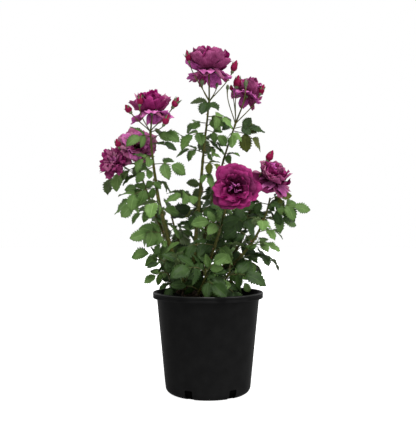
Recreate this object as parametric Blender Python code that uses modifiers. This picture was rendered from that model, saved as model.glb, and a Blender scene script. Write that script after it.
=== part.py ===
"""Rose bush in a nursery pot: canes, leafy shoots and flower trusses as closed solids.

Units are metres and +Z is up.  The origin is the centre of the pot's flat underside.
The viewer's side of the plant is -Y.  Headings are turned about +Z from +X, in degrees.
"""

import math
import random
from collections import namedtuple

import bmesh
import bpy
from mathutils import Matrix, Vector
from mathutils.bvhtree import BVHTree

# ---------------------------------------------------------------- driving sizes

GAP = 0.0003

POT_HEIGHT = 0.2095
RIM_RADIUS = 0.1155
RIM_DEPTH = 0.0125
RIM_ROUND = 0.0018
WALL_TOP_RADIUS = 0.1072
WALL_FOOT_RADIUS = 0.0895
CORNER_ROUND = 0.0140
WALL = 0.0020
FLOOR = 0.0026
DRAINS = 6
DRAIN_WIDTH = 0.0170
DRAIN_HEIGHT = 0.0205
DRAIN_DEPTH = 0.0150
DRAIN_FIRST = math.radians(34)
TURN_STEPS = 32

SOIL_LEVEL = 0.1850
SOIL_EDGE = 0.0015
WALL_SLOPE = math.atan2(WALL_TOP_RADIUS - WALL_FOOT_RADIUS, POT_HEIGHT - RIM_DEPTH - CORNER_ROUND)

# Where the canes leave the knobbly union above the soil.
UNION_CENTRE = Vector((-0.031, 0.002, 0.203))
UNION_SIZE = Vector((0.026, 0.023, 0.017))
FLARE_FOOT_RADIUS = 0.0270
FLARE_TOP_RADIUS = 0.0190
STUB_SWELL = 1.15

PETIOLE_RADIUS = 0.0013
RACHIS_RADIUS = 0.0012
STALK_RADIUS = 0.0018
LEAF_THICKNESS = 0.0011
LEAF_FULLNESS = 1.22
LEAF_FOLD = 0.10
LEAF_SUNK = 0.0002
LEAF_SHORT_OF_BEND = 0.0018
CLEARANCE = 0.0006
LEAD = 0.0040
BUD_STALK_RADIUS = 0.0013
SMALL_BUD = 0.0050
BUD_SUNK = 0.0020
FORK_SWELL = 1.55
OUTER_PETALS = 6
PETAL_WIDTH = 0.80
PETAL_EXTRA = 0.0003
PETAL_STEP_UP = 0.020
PETAL_STEP_IN = 0.0012

# ---------------------------------------------------------------- the plant's table

Cane = namedtuple("Cane", "foot bend tip foot_radius tip_radius bare masses")

# foot, bend and tip of each limb; the bare share is its bough and the rest is leafy.
CANES = {
    "left": Cane((-0.056, -0.010, 0.234), (-0.109, -0.019, 0.381), (-0.118, -0.033, 0.536),
                 0.0062, 0.0021, 0.24, ("low", "top")),
    "centre": Cane((-0.032, -0.002, 0.242), (-0.018, 0.002, 0.435), (0.002, 0.000, 0.604),
                   0.0052, 0.0019, 0.22, ("low", "mid", "top")),
    "front": Cane((-0.020, -0.020, 0.230), (0.022, -0.042, 0.308), (0.036, -0.080, 0.389),
                  0.0042, 0.0023, 0.30, ("top",)),
    "right_rear": Cane((-0.022, 0.016, 0.236), (0.000, 0.062, 0.398), (0.058, 0.050, 0.564),
                       0.0046, 0.0018, 0.30, ("low", "top")),
    "right": Cane((-0.006, -0.006, 0.226), (0.107, -0.011, 0.287), (0.130, -0.005, 0.406),
                  0.0044, 0.0018, 0.30, ("low", "top")),
    "right_inner": Cane((-0.008, 0.009, 0.229), (0.086, 0.027, 0.286), (0.090, 0.020, 0.402),
                        0.0042, 0.0019, 0.32, ("top",)),
    "rear_left": Cane((-0.046, 0.018, 0.232), (-0.059, 0.110, 0.291), (-0.092, 0.140, 0.395),
                      0.0042, 0.0018, 0.30, ("low", "top")),
    "rear_right": Cane((-0.030, 0.028, 0.230), (0.034, 0.097, 0.292), (0.070, 0.150, 0.388),
                       0.0042, 0.0018, 0.30, ("low", "top")),
}

# A cane that forks off another one's side: its parent and the share where it leaves.
FORKS = {"left_rear": ("left", 0.19)}
CANES["left_rear"] = Cane((-0.078, -0.006, 0.302), (-0.124, 0.024, 0.384), (-0.150, 0.038, 0.478),
                          0.0036, 0.0018, 0.14, ("top",))

# Short shoots about the foot, each one leafy mass standing on the union.
BASAL = {
    "basal_left": Cane((-0.064, -0.004, 0.212), (-0.084, -0.012, 0.238), (-0.090, -0.018, 0.275),
                       0.0034, 0.0016, 0.0, ("all",)),
    "basal_left_rear": Cane((-0.058, 0.020, 0.212), (-0.076, 0.046, 0.240), (-0.082, 0.062, 0.285),
                            0.0034, 0.0016, 0.0, ("all",)),
    "basal_front_left": Cane((-0.046, -0.026, 0.210), (-0.052, -0.056, 0.236), (-0.056, -0.070, 0.272),
                             0.0034, 0.0016, 0.0, ("all",)),
    "basal_front": Cane((-0.020, -0.034, 0.208), (-0.008, -0.064, 0.226), (-0.004, -0.082, 0.262),
                        0.0034, 0.0016, 0.0, ("all",)),
    "basal_front_right": Cane((0.002, -0.024, 0.208), (0.030, -0.056, 0.224), (0.044, -0.070, 0.256),
                              0.0034, 0.0016, 0.0, ("all",)),
    "basal_right": Cane((0.010, 0.000, 0.208), (0.046, 0.008, 0.222), (0.070, 0.010, 0.252),
                        0.0034, 0.0016, 0.0, ("all",)),
    "basal_right_rear": Cane((0.000, 0.024, 0.209), (0.026, 0.054, 0.228), (0.042, 0.070, 0.272),
                             0.0034, 0.0016, 0.0, ("all",)),
    "basal_rear": Cane((-0.030, 0.036, 0.208), (-0.030, 0.070, 0.232), (-0.022, 0.092, 0.276),
                       0.0034, 0.0016, 0.0, ("all",)),
}

LIMBS = {**CANES, **BASAL}

Spray = namedtuple("Spray", "limb share heading rise length face")

# Compound leaves with a place of their own.  "face" turns the blade towards the viewer.
SPRAYS = [
    Spray("left", 0.96, 30, 22, 0.092, 40),
    Spray("left", 0.93, 350, 8, 0.056, 25),
    Spray("left", 0.80, 350, -4, 0.076, 60),
    Spray("left", 0.85, 235, -14, 0.062, 60),
    Spray("left", 0.78, 222, -24, 0.054, 50),
    Spray("left", 0.64, 196, -21, 0.106, 58),
    Spray("left", 0.43, 80, 38, 0.085, 0),
    Spray("left", 0.31, 222, 8, 0.090, 70),
    Spray("left_rear", 0.45, 210, -10, 0.058, 45),
    Spray("left_rear", 0.60, 200, 14, 0.050, 40),
    Spray("left_rear", 0.93, 202, -17, 0.112, 30),
    Spray("centre", 0.25, 172, 50, 0.070, 30),
    Spray("centre", 0.31, 330, 45, 0.082, 30),
    Spray("centre", 0.38, 145, 45, 0.080, 20),
    Spray("centre", 0.58, 305, -25, 0.050, 45),
    Spray("centre", 0.64, 320, -8, 0.064, 50),
    Spray("centre", 0.70, 200, 12, 0.062, 50),
    Spray("centre", 0.74, 30, 5, 0.056, 40),
    Spray("centre", 0.82, 222, -12, 0.072, 55),
    Spray("centre", 0.84, 350, -26, 0.056, 50),
    Spray("centre", 0.88, 160, 0, 0.060, 45),
    Spray("centre", 0.92, 340, -8, 0.064, 50),
    Spray("centre", 0.985, 262, 2, 0.076, 66),
    Spray("right_rear", 0.78, 300, 24, 0.056, 45),
    Spray("right_rear", 0.97, 354, -22, 0.0889, 80),
    Spray("right_rear", 0.95, 268, -12, 0.062, 60),
    Spray("right_rear", 0.985, 4, 0, 0.066, 60),
    Spray("right_rear", 0.98, 215, 22, 0.056, 60),
    Spray("right", 0.98, 338, 22, 0.048, 55),
    Spray("right", 0.94, 200, 2, 0.060, 60),
    Spray("right", 0.91, 285, 22, 0.052, 60),
    Spray("right", 0.90, 350, 6, 0.0892, 65),
    Spray("right", 0.88, 335, -12, 0.068, 65),
    Spray("right", 0.80, 12, 4, 0.080, 45),
    Spray("right", 0.74, 268, 18, 0.066, 45),
    Spray("right", 0.66, 8, 7, 0.062, 40),
    Spray("right", 0.56, 4, -4, 0.062, 35),
    Spray("right", 0.46, 346, 12, 0.096, 10),
    Spray("right", 0.38, 12, 3, 0.098, 6),
    Spray("right", 0.37, 288, -4, 0.075, 45),
    Spray("front", 0.62, 285, 36, 0.076, 65),
    Spray("front", 0.36, 8, 32, 0.078, 20),
    Spray("basal_left", 0.95, 182, 28, 0.074, 35),
    Spray("basal_left", 0.65, 215, -10, 0.058, 60),
    Spray("basal_left", 0.40, 240, -20, 0.056, 70),
    Spray("basal_front", 0.90, 196, 4, 0.094, 70),
    Spray("basal_front", 0.55, 300, -18, 0.078, 60),
    Spray("basal_front", 0.32, 338, 14, 0.066, 70),
    Spray("basal_front", 0.18, 202, 20, 0.062, 70),
    Spray("basal_front_right", 0.85, 362, -3, 0.084, 60),
    Spray("basal_front_right", 0.45, 280, -25, 0.070, 60),
]

# How many more leaves the rule sets on each limb's masses, and the first one's heading.
FILL = {
    "left": ((2, 100), (1, 120)),
    "left_rear": ((2, 60),),
    "centre": ((2, 60), (1, 330), (1, 90)),
    "front": ((2, 200),),
    "right_rear": ((4, 30), (0, 150)),
    "right": ((2, 60), (1, 120)),
    "right_inner": ((4, 40),),
    "rear_left": ((2, 100), (4, 60)),
    "rear_right": ((2, 40), (4, 100)),
    "basal_left": ((2, 250),),
    "basal_left_rear": ((4, 160),),
    "basal_front_left": ((5, 200),),
    "basal_front": ((1, 230),),
    "basal_front_right": ((3, 300),),
    "basal_right": ((5, 20),),
    "basal_right_rear": ((4, 60),),
    "basal_rear": ((5, 90),),
}

Bloom = namedtuple("Bloom", "limb calyx heading rise cup_radius cup_height skirt petal")

# Each rose: calyx place, the way it faces, its cup, and how its outer petals hang.
BLOOMS = [
    Bloom("centre", (0.002, 0.000, 0.670), 90, 84, 0.044, 0.052, -48, 0.044),
    Bloom("left", (-0.115, -0.034, 0.577), 120, 82, 0.037, 0.048, -36, 0.042),
    Bloom("right_rear", (0.083, 0.045, 0.628), 50, 60, 0.031, 0.042, -26, 0.040),
    Bloom("right_inner", (0.132, -0.004, 0.443), 305, 52, 0.028, 0.036, -30, 0.040),
    Bloom("left_rear", (-0.196, 0.030, 0.481), 245, 20, 0.021, 0.022, 12, 0.038),
    Bloom("left_rear", (-0.152, 0.034, 0.513), 280, 36, 0.031, 0.030, -2, 0.043),
    Bloom("front", (0.052, -0.092, 0.416), 268, 14, 0.034, 0.034, 6, 0.046),
]

Bud = namedtuple("Bud", "limb base heading rise length girth")

BUDS = [
    Bud("centre", (-0.039, -0.012, 0.688), 180, 78, 0.026, 0.0062),
    Bud("centre", (0.051, 0.010, 0.672), 0, 69, 0.027, 0.0078),
    Bud("centre", (-0.012, -0.022, 0.638), 90, 88, 0.014, 0.0046),
    Bud("centre", (0.018, 0.012, 0.640), 30, 78, 0.012, 0.0034),
    Bud("right_rear", (0.041, 0.012, 0.634), 0, 85, 0.013, 0.0038),
    Bud("right_rear", (0.061, 0.028, 0.643), 0, 80, 0.027, 0.0094),
    Bud("right_rear", (0.052, 0.040, 0.639), 180, 78, 0.013, 0.0048),
    Bud("right_rear", (0.080, 0.014, 0.640), 0, 89, 0.020, 0.0044),
    Bud("right_rear", (0.112, 0.034, 0.630), 0, 68, 0.023, 0.0066),
    Bud("left", (-0.137, -0.066, 0.588), 0, 84, 0.024, 0.0066),
    Bud("left", (-0.156, -0.050, 0.576), 180, 55, 0.020, 0.0076),
    Bud("left", (-0.073, -0.030, 0.590), 0, 60, 0.025, 0.0078),
    Bud("left", (-0.090, -0.056, 0.550), 0, 62, 0.024, 0.0072),
    Bud("left_rear", (-0.188, 0.010, 0.512), 180, 72, 0.020, 0.0070),
    Bud("right_inner", (0.122, -0.022, 0.480), 0, 62, 0.026, 0.0084),
]

FLOWERS = BLOOMS + BUDS

# ---------------------------------------------------------------- the rule of growth

BOUGH_SPANS = 4
BOUGH_SIDES = 6
STEM_SPANS = 3
STALK_SPANS = 3
GOLDEN_STEP = 144
NODE_JITTER = 16
FILL_LENGTH = (0.074, 0.104)
FILL_RISE = (-14, 32)
FILL_FACE = (12, 78)
FILL_LEAN = 34
BASAL_RISE = (34, 70)
BASAL_LENGTH = (0.056, 0.086)
LEAFLET_WIDTH = 0.70
SMALL_LEAF = 0.089
ARCH = 42
PAIR_ANGLE = 60
PAIR_SPREAD = 12
TERMINAL_DROOP = math.radians(24)
PAIR_DROOP = math.radians(18)
BLADE_ROLL = 34
BLADE_VARIES = (0.92, 1.08)
WIDEST_AT = 0.45
STALK_STARTS = (0.45, 0.80)
STALK_START_STEP = 0.382

# How coarse the bodies are that stand in for flowers and the burl when room is tested.
BALL_SIDES = 8
BALL_RINGS = 6
LEAST_RADIUS = 0.0002
LEAVES_REACH = 0.3000
TRUSS_SWELL = 1.10

# A direction that no limb or flower runs along, to square sections against.
ASKEW = Vector((0.31, 0.87, 0.38))

# Stalk's share of a leaf's length, its end leaflet's, and each pair's place and size.
LeafPlan = namedtuple("LeafPlan", "stalk end pairs")
THREE = LeafPlan(0.52, 0.52, ((0.62, 0.84),))
FIVE = LeafPlan(0.62, 0.42, ((0.42, 0.78), (0.76, 0.94)))
TRIES = ((0, 0), (14, 4), (-14, 4), (26, -8), (-26, -8), (0, 18), (40, 8), (-40, 8),
         (20, 32), (-20, 32), (60, 20), (-60, 20))

Blade = namedtuple("Blade", "base along normal length width")
Leaf = namedtuple("Leaf", "limb mass rachis blades seed")


def pointing(heading, rise):
    """Unit vector for a heading and a rise above the level, in degrees."""
    level = math.cos(math.radians(rise))
    turn = math.radians(heading)
    return Vector((math.cos(turn) * level, math.sin(turn) * level, math.sin(math.radians(rise))))


def bezier(start, bend, end, share):
    return start * (1 - share) ** 2 + bend * 2 * share * (1 - share) + end * share ** 2


def limb_point(name, share):
    limb = LIMBS[name]
    return bezier(Vector(limb.foot), Vector(limb.bend), Vector(limb.tip), share)


def limb_along(name, share):
    limb = LIMBS[name]
    early = Vector(limb.bend) - Vector(limb.foot)
    late = Vector(limb.tip) - Vector(limb.bend)
    return (early * (1 - share) + late * share).normalized()


def limb_radius(name, share):
    limb = LIMBS[name]
    return limb.foot_radius + (limb.tip_radius - limb.foot_radius) * share


def stretches(name):
    """Share of the limb where each of its leafy masses starts and ends."""
    limb = LIMBS[name]
    step = (1 - limb.bare) / len(limb.masses)
    return [(limb.bare + step * i, limb.bare + step * (i + 1)) for i in range(len(limb.masses))]


def limb_path(name, first, last, spans):
    """Centre points and radii of a limb between two shares of its length.

    Both ends run straight for a little, so that the faces of two stretches lie parallel.
    """
    points = [limb_point(name, first) + limb_along(name, first) * reach for reach in (GAP, LEAD)]
    if name in FORKS and first == 0.0:
        points = fork_foot(name)
    shares = [first + (last - first) * i / spans for i in range(1, spans)]
    points += [limb_point(name, share) for share in shares]
    points += [limb_point(name, last) - limb_along(name, last) * reach for reach in (LEAD, 0.0)]
    shares = [first, first] + shares + [last, last]
    return points, [limb_radius(name, share) for share in shares]


def fork_foot(name):
    """A fork's first points: it stands square on its parent's side, one gap clear."""
    parent, share = FORKS[name]
    axis = limb_along(parent, share)
    root = limb_point(parent, share)
    away = limb_point(name, 0.1) - root
    away = (away - axis * away.dot(axis)).normalized()
    clear = limb_radius(parent, share) + GAP
    return [root + away * clear, root + away * (clear + LEAD)]


def stub_path(name):
    """The trunk's own start of a limb, from inside the union to the limb's foot."""
    foot = limb_point(name, 0.0)
    ahead = limb_along(name, 0.0)
    inner = UNION_CENTRE.lerp(foot, 0.25)
    return [inner, inner.lerp(foot - ahead * LEAD, 0.6), foot - ahead * LEAD, foot]


def compound_leaf(limb, mass, root, heading, rise, length, face, lean, seed):
    """A rose leaf: an arched stalk with a leaflet at its tip and two pairs along it."""
    chance = random.Random(seed)
    plan = THREE if length < SMALL_LEAF else FIVE
    places = [0.0] + [place for place, share in plan.pairs] + [1.0]
    rachis = [root]
    for early, late in zip(places, places[1:]):
        bow = ARCH * (0.5 - (early + late) / 2)
        rachis.append(rachis[-1] + pointing(heading, rise + bow) * (length * plan.stalk * (late - early)))
    tilt = math.radians(face)
    slant = math.radians(lean)
    hint = Vector((math.sin(slant), -math.sin(tilt), math.cos(tilt) * math.cos(slant)))
    blades = []
    end = (rachis[-1] - rachis[-2]).normalized()
    normal = (hint - end * hint.dot(end)).normalized()
    droop = TERMINAL_DROOP * chance.uniform(0.5, 1.5)
    along = end * math.cos(droop) - normal * math.sin(droop)
    size = length * plan.end
    blades.append(make_blade(rachis[-1], along, normal, size, chance))
    for i, (place, share) in enumerate(plan.pairs, 1):
        base = rachis[i] - (rachis[i] - rachis[i - 1]).normalized() * LEAF_SHORT_OF_BEND
        ahead = (rachis[i + 1] - rachis[i - 1]).normalized()
        up = (hint - ahead * hint.dot(ahead)).normalized()
        side = ahead.cross(up)
        for sign in (1, -1):
            turn = math.radians(PAIR_ANGLE + chance.uniform(-PAIR_SPREAD, PAIR_SPREAD))
            droop = PAIR_DROOP * chance.uniform(0.0, 2.2)
            out = ahead * math.cos(turn) + side * (sign * math.sin(turn))
            along = out * math.cos(droop) - up * math.sin(droop)
            blades.append(make_blade(base, along, up, size * share, chance))
    return Leaf(limb, mass, rachis, blades, seed)


def make_blade(base, along, up, size, chance):
    along = along.normalized()
    roll = Matrix.Rotation(math.radians(chance.uniform(-BLADE_ROLL, BLADE_ROLL)), 3, along)
    normal = roll @ (up - along * up.dot(along)).normalized()
    length = size * chance.uniform(*BLADE_VARIES)
    width = length * LEAFLET_WIDTH * chance.uniform(*BLADE_VARIES)
    return Blade(base, along, normal, length, width)


def blade_solid(blade, extra=0.0):
    """Corners and faces of a leaflet as a keeled lozenge of six faces."""
    across = blade.normal.cross(blade.along)
    half = blade.width * 0.5 * LEAF_FULLNESS + extra
    thick = LEAF_THICKNESS + extra
    widest = blade.base + blade.along * (blade.length * WIDEST_AT)
    lift = blade.normal * (blade.width * LEAF_FOLD + extra)
    corners = [
        blade.base - blade.along * (LEAF_SUNK + extra),
        blade.base + blade.along * (blade.length + extra),
        widest + across * half + lift,
        widest - across * half + lift,
        widest - blade.normal * thick,
    ]
    faces = [(0, 3, 2), (1, 2, 3), (0, 2, 4), (0, 4, 3), (1, 4, 2), (1, 3, 4)]
    return corners, faces


def ring_faces(spans, sides):
    """Faces between rings of corners that follow one another."""
    faces = []
    for i in range(spans):
        for k in range(sides):
            after = (k + 1) % sides
            faces.append((i * sides + k, i * sides + after, (i + 1) * sides + after, (i + 1) * sides + k))
    return faces


def tube_solid(points, radii, sides, extra=0.0):
    """Corners and faces of a tube round a path, for tests of what touches it."""
    corners = []
    for i, point in enumerate(points):
        ahead = (points[min(i + 1, len(points) - 1)] - points[max(i - 1, 0)]).normalized()
        side = ahead.cross(ASKEW).normalized()
        other = ahead.cross(side)
        for k in range(sides):
            turn = math.tau * k / sides
            reach = side * math.cos(turn) + other * math.sin(turn)
            corners.append(point + reach * (radii[i] + extra))
    return corners, ring_faces(len(points) - 1, sides)


def ball_solid(centre, radius_along, radius_across, along):
    """Corners and faces of a coarse ellipsoid, for tests of what touches it."""
    side = along.cross(ASKEW).normalized()
    other = along.cross(side)
    steps = [math.pi * i / BALL_RINGS for i in range(BALL_RINGS + 1)]
    corners = []
    for step in steps:
        point = centre - along * (radius_along * math.cos(step))
        radius = max(radius_across * math.sin(step), LEAST_RADIUS)
        for k in range(BALL_SIDES):
            turn = math.tau * k / BALL_SIDES
            corners.append(point + (side * math.cos(turn) + other * math.sin(turn)) * radius)
    return corners, ring_faces(BALL_RINGS, BALL_SIDES)


def merged(solids):
    corners = []
    faces = []
    for some_corners, some_faces in solids:
        base = len(corners)
        corners.extend(some_corners)
        faces.extend(tuple(base + i for i in face) for face in some_faces)
    return corners, faces


def tree_of(solids):
    corners, faces = merged(solids)
    return BVHTree.FromPolygons(corners, faces)


def leaf_solids(leaf, extra=0.0):
    radii = [PETIOLE_RADIUS] * len(leaf.rachis)
    solids = [blade_solid(blade, extra) for blade in leaf.blades]
    return solids + [tube_solid(leaf.rachis, radii, 3, extra)]


def flower_base(flower):
    return Vector(flower.calyx if isinstance(flower, Bloom) else flower.base)


def stalk_path(flower, sunk=0.0):
    """A flower stalk: it leaves along the cane and comes in along the flower's axis."""
    limb = flower.limb
    axis = pointing(flower.heading, flower.rise)
    end = flower_base(flower) + axis * sunk
    least, most = STALK_STARTS
    depth = least + (most - least) * (FLOWERS.index(flower) * STALK_START_STEP % 1.0)
    start = limb_point(limb, 1.0) + limb_along(limb, 1.0) * (LEAD * depth)
    reach = (end - start).length
    early = start + limb_along(limb, 1.0) * (reach * 0.12)
    late = end - axis * (reach * 0.35)
    points = []
    for i in range(STALK_SPANS + 1):
        t = i / STALK_SPANS
        points.append(start * (1 - t) ** 3 + early * 3 * t * (1 - t) ** 2
                      + late * 3 * t ** 2 * (1 - t) + end * t ** 3)
    return points


def bloom_hull(bloom):
    """A body round a rose's cup and its outer petals."""
    axis = pointing(bloom.heading, bloom.rise)
    wide = max(bloom.cup_radius, bloom.petal * math.cos(math.radians(bloom.skirt)))
    drop = max(0.0, bloom.petal * math.sin(math.radians(-bloom.skirt)))
    middle = flower_base(bloom) + axis * ((bloom.cup_height - drop) * 0.5)
    return ball_solid(middle, (bloom.cup_height + drop) * 0.5 * TRUSS_SWELL, wide * TRUSS_SWELL, axis)


def wall_inner_radius(height):
    low = CORNER_ROUND
    high = POT_HEIGHT - RIM_DEPTH
    share = (height - low) / (high - low)
    return WALL_FOOT_RADIUS + (WALL_TOP_RADIUS - WALL_FOOT_RADIUS) * share - WALL


def pot_limits():
    """Soil, inner wall, rim and the level of the rim outside it: no leaf hangs past them."""
    rings = [
        (LEAST_RADIUS, SOIL_LEVEL),
        (wall_inner_radius(SOIL_LEVEL), SOIL_LEVEL),
        (wall_inner_radius(POT_HEIGHT), POT_HEIGHT),
        (RIM_RADIUS, POT_HEIGHT),
        (LEAVES_REACH, POT_HEIGHT),
    ]
    turns = [math.tau * k / TURN_STEPS for k in range(TURN_STEPS)]
    corners = [Vector((r * math.cos(turn), r * math.sin(turn), z)) for r, z in rings for turn in turns]
    return BVHTree.FromPolygons(corners, ring_faces(len(rings) - 1, TURN_STEPS))


def planned_leaves(name, number, first, last):
    """Leaves wanted on one mass: its own sprays, then the rule's at even steps."""
    wanted = [(s.share, s.heading, s.rise, s.length, s.face, 0) for s in SPRAYS
              if s.limb == name and first <= s.share < last + 0.001]
    count, heading = FILL[name][number]
    chance = random.Random(f"{name} {number}")
    for i in range(count):
        share = first + (last - first) * (i + 0.55) / count
        turned = (heading + GOLDEN_STEP * i + chance.uniform(-NODE_JITTER, NODE_JITTER)) % 360
        low, high = BASAL_RISE if name in BASAL else FILL_RISE
        rise = chance.uniform(low, high)
        length = chance.uniform(*(BASAL_LENGTH if name in BASAL else FILL_LENGTH))
        face = chance.uniform(*FILL_FACE)
        lean = chance.uniform(-FILL_LEAN, FILL_LEAN)
        wanted.append((share, turned, rise, length, face, lean))
    return wanted


def grow():
    """Every leaf that finds room, keeping clear of the limbs and of other masses."""
    fixed = {"pot": pot_limits()}
    stubs = [tube_solid(stub_path(name), [limb.foot_radius * STUB_SWELL] * 4, 8)
             for name, limb in LIMBS.items() if name not in FORKS]
    up = Vector((0, 0, 1))
    burl = ball_solid(UNION_CENTRE, UNION_SIZE.z, UNION_SIZE.x, up)
    fixed["trunk"] = tree_of(stubs + [burl])
    for name, limb in LIMBS.items():
        if limb.bare > 0:
            points, radii = limb_path(name, 0.0, limb.bare, BOUGH_SPANS)
            fixed[name + " bough"] = tree_of([tube_solid(points, radii, 8)])
        for number, (first, last) in enumerate(stretches(name)):
            points, radii = limb_path(name, first, last, STEM_SPANS)
            fixed[(name, number)] = tree_of([tube_solid(points, radii, 8)])
    for truss in sorted({bloom.limb for bloom in BLOOMS}):
        solids = []
        for flower in [one for one in FLOWERS if one.limb == truss]:
            path = stalk_path(flower)
            solids.append(tube_solid(path, [STALK_RADIUS] * len(path), 6))
            if isinstance(flower, Bloom):
                solids.append(bloom_hull(flower))
                continue
            axis = pointing(flower.heading, flower.rise)
            middle = flower_base(flower) + axis * (flower.length * 0.5)
            solids.append(ball_solid(middle, flower.length * 0.5 * TRUSS_SWELL,
                                     flower.girth * TRUSS_SWELL, axis))
        fixed[truss + " truss"] = tree_of(solids)
    leaves = []
    skipped = []
    grown = {}
    for name in LIMBS:
        for number, (first, last) in enumerate(stretches(name)):
            own = []
            wanted = planned_leaves(name, number, first, last)
            for i, (share, heading, rise, length, face, lean) in enumerate(wanted):
                share = min(max(share, first + 0.02), last - 0.01)
                root = limb_point(name, share)
                for turn, lift in TRIES:
                    leaf = compound_leaf(name, number, root, heading + turn, rise + lift, length, face,
                                         lean, f"{name} {number} {i}")
                    test = tree_of(leaf_solids(leaf, CLEARANCE))
                    others = [tree for key, tree in fixed.items() if key != (name, number)]
                    others += [tree for key, tree in grown.items()]
                    if not any(test.overlap(tree) for tree in others):
                        own.append(leaf)
                        break
                else:
                    skipped.append((name, number, i))
            if own:
                grown[(name, number)] = tree_of([s for leaf in own for s in leaf_solids(leaf)])
            leaves.extend(own)
    return leaves, skipped


# ---------------------------------------------------------------- solids


def clear_scene():
    for item in list(bpy.data.objects):
        bpy.data.objects.remove(item, do_unlink=True)
    bpy.ops.outliner.orphans_purge(do_recursive=True)


def new_collection(name):
    made = bpy.data.collections.new(name)
    bpy.context.scene.collection.children.link(made)
    return made


def paint(name, colour, roughness):
    material = bpy.data.materials.new(name)
    material.use_nodes = True
    shader = material.node_tree.nodes["Principled BSDF"]
    shader.inputs["Base Color"].default_value = (*colour, 1.0)
    shader.inputs["Roughness"].default_value = roughness
    return material


def put(name, mesh, material, collection):
    item = bpy.data.objects.new(name, mesh)
    mesh.materials.clear()
    if material:
        mesh.materials.append(material)
    collection.objects.link(item)
    return item


def evaluated_mesh(item):
    """The object's mesh in world space, with its modifiers applied."""
    bpy.context.view_layer.update()
    graph = bpy.context.evaluated_depsgraph_get()
    mesh = bpy.data.meshes.new_from_object(item.evaluated_get(graph))
    mesh.transform(item.matrix_world)
    return mesh


def mesh_from(solid, name):
    corners, faces = solid
    mesh = bpy.data.meshes.new(name)
    mesh.from_pydata(corners, [], faces)
    return mesh


def tube(points, radii, sides, name, collection):
    """A tapering tube with closed ends: a poly curve whose points carry the radii."""
    curve = bpy.data.curves.new(name, "CURVE")
    curve.dimensions = "3D"
    curve.use_fill_caps = True
    if sides == 3:
        curve.bevel_mode = "OBJECT"
        curve.bevel_object = bpy.data.objects["triangle"]
    else:
        curve.bevel_depth = 1.0
        curve.bevel_resolution = (sides - 4) // 2
    spline = curve.splines.new("POLY")
    spline.points.add(len(points) - 1)
    for place, point, radius in zip(spline.points, points, radii):
        place.co = (*point, 1.0)
        place.radius = radius
    item = bpy.data.objects.new(name, curve)
    collection.objects.link(item)
    mesh = evaluated_mesh(item)
    bpy.data.objects.remove(item, do_unlink=True)
    bpy.data.curves.remove(curve)
    shape = bmesh.new()
    shape.from_mesh(mesh)
    bmesh.ops.remove_doubles(shape, verts=shape.verts, dist=0.00001)
    bmesh.ops.recalc_face_normals(shape, faces=shape.faces)
    shape.to_mesh(mesh)
    shape.free()
    return put(name, mesh, None, collection)


def triangle_section():
    """A three-sided section of radius one for the leaf stalks."""
    curve = bpy.data.curves.new("triangle", "CURVE")
    spline = curve.splines.new("POLY")
    spline.points.add(2)
    for k, place in enumerate(spline.points):
        turn = math.tau * k / 3
        place.co = (math.cos(turn), math.sin(turn), 0.0, 1.0)
    spline.use_cyclic_u = True
    item = bpy.data.objects.new("triangle", curve)
    item.hide_render = True
    item.display_type = "WIRE"
    guides.objects.link(item)


def ellipsoid(centre, axis, radius_along, radius_across, segments, rings, name, collection):
    shape = bmesh.new()
    turn = axis.to_track_quat("Z", "Y").to_matrix().to_4x4()
    size = Matrix.Diagonal((radius_across, radius_across, radius_along, 1.0))
    place = Matrix.Translation(centre) @ turn @ size
    bmesh.ops.create_uvsphere(shape, u_segments=segments, v_segments=rings, radius=1.0, matrix=place)
    mesh = bpy.data.meshes.new(name)
    shape.to_mesh(mesh)
    shape.free()
    return put(name, mesh, None, collection)


def keep_largest(mesh):
    """Drop loose scraps and sealed hollows, which are separate shells after a union."""
    shape = bmesh.new()
    shape.from_mesh(mesh)
    waiting = set(shape.verts)
    shells = []
    while waiting:
        shell = {waiting.pop()}
        edge = list(shell)
        while edge:
            near = {e.other_vert(v) for v in edge for e in v.link_edges} & waiting
            waiting -= near
            shell |= near
            edge = list(near)
        shells.append(shell)
    shells.sort(key=len)
    spare = [vert for shell in shells[:-1] for vert in shell]
    bmesh.ops.delete(shape, geom=spare, context="VERTS")
    bmesh.ops.triangulate(shape, faces=shape.faces)
    shape.to_mesh(mesh)
    shape.free()


def join(name, body, parts, material):
    """One union of a body with everything in a collection, as one named object."""
    union = body.modifiers.new("Join", "BOOLEAN")
    union.operation = "UNION"
    union.operand_type = "COLLECTION"
    union.collection = parts
    union.solver = "MANIFOLD"
    mesh = evaluated_mesh(body)
    for item in list(parts.objects) + [body]:
        bpy.data.objects.remove(item, do_unlink=True)
    bpy.data.collections.remove(parts)
    keep_largest(mesh)
    mesh.name = name
    return put(name, mesh, material, plant)


def turned(name, profile, material):
    """A profile of radius and height points turned about Z, its outer side top to bottom."""
    mesh = bpy.data.meshes.new(name)
    mesh.from_pydata([(r, 0.0, z) for r, z in profile], [(i, i + 1) for i in range(len(profile) - 1)], [])
    item = put(name, mesh, material, plant)
    screw = item.modifiers.new("Turn", "SCREW")
    screw.steps = TURN_STEPS
    screw.render_steps = TURN_STEPS
    screw.use_merge_vertices = True
    screw.merge_threshold = 0.0001
    screw.use_smooth_shade = True
    return item


def arc(centre, radius, first, last, steps):
    """Points of a profile's rounded corner between two angles, in degrees."""
    angles = [math.radians(first + (last - first) * i / steps) for i in range(steps + 1)]
    return [(centre[0] + radius * math.cos(a), centre[1] + radius * math.sin(a)) for a in angles]


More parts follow.
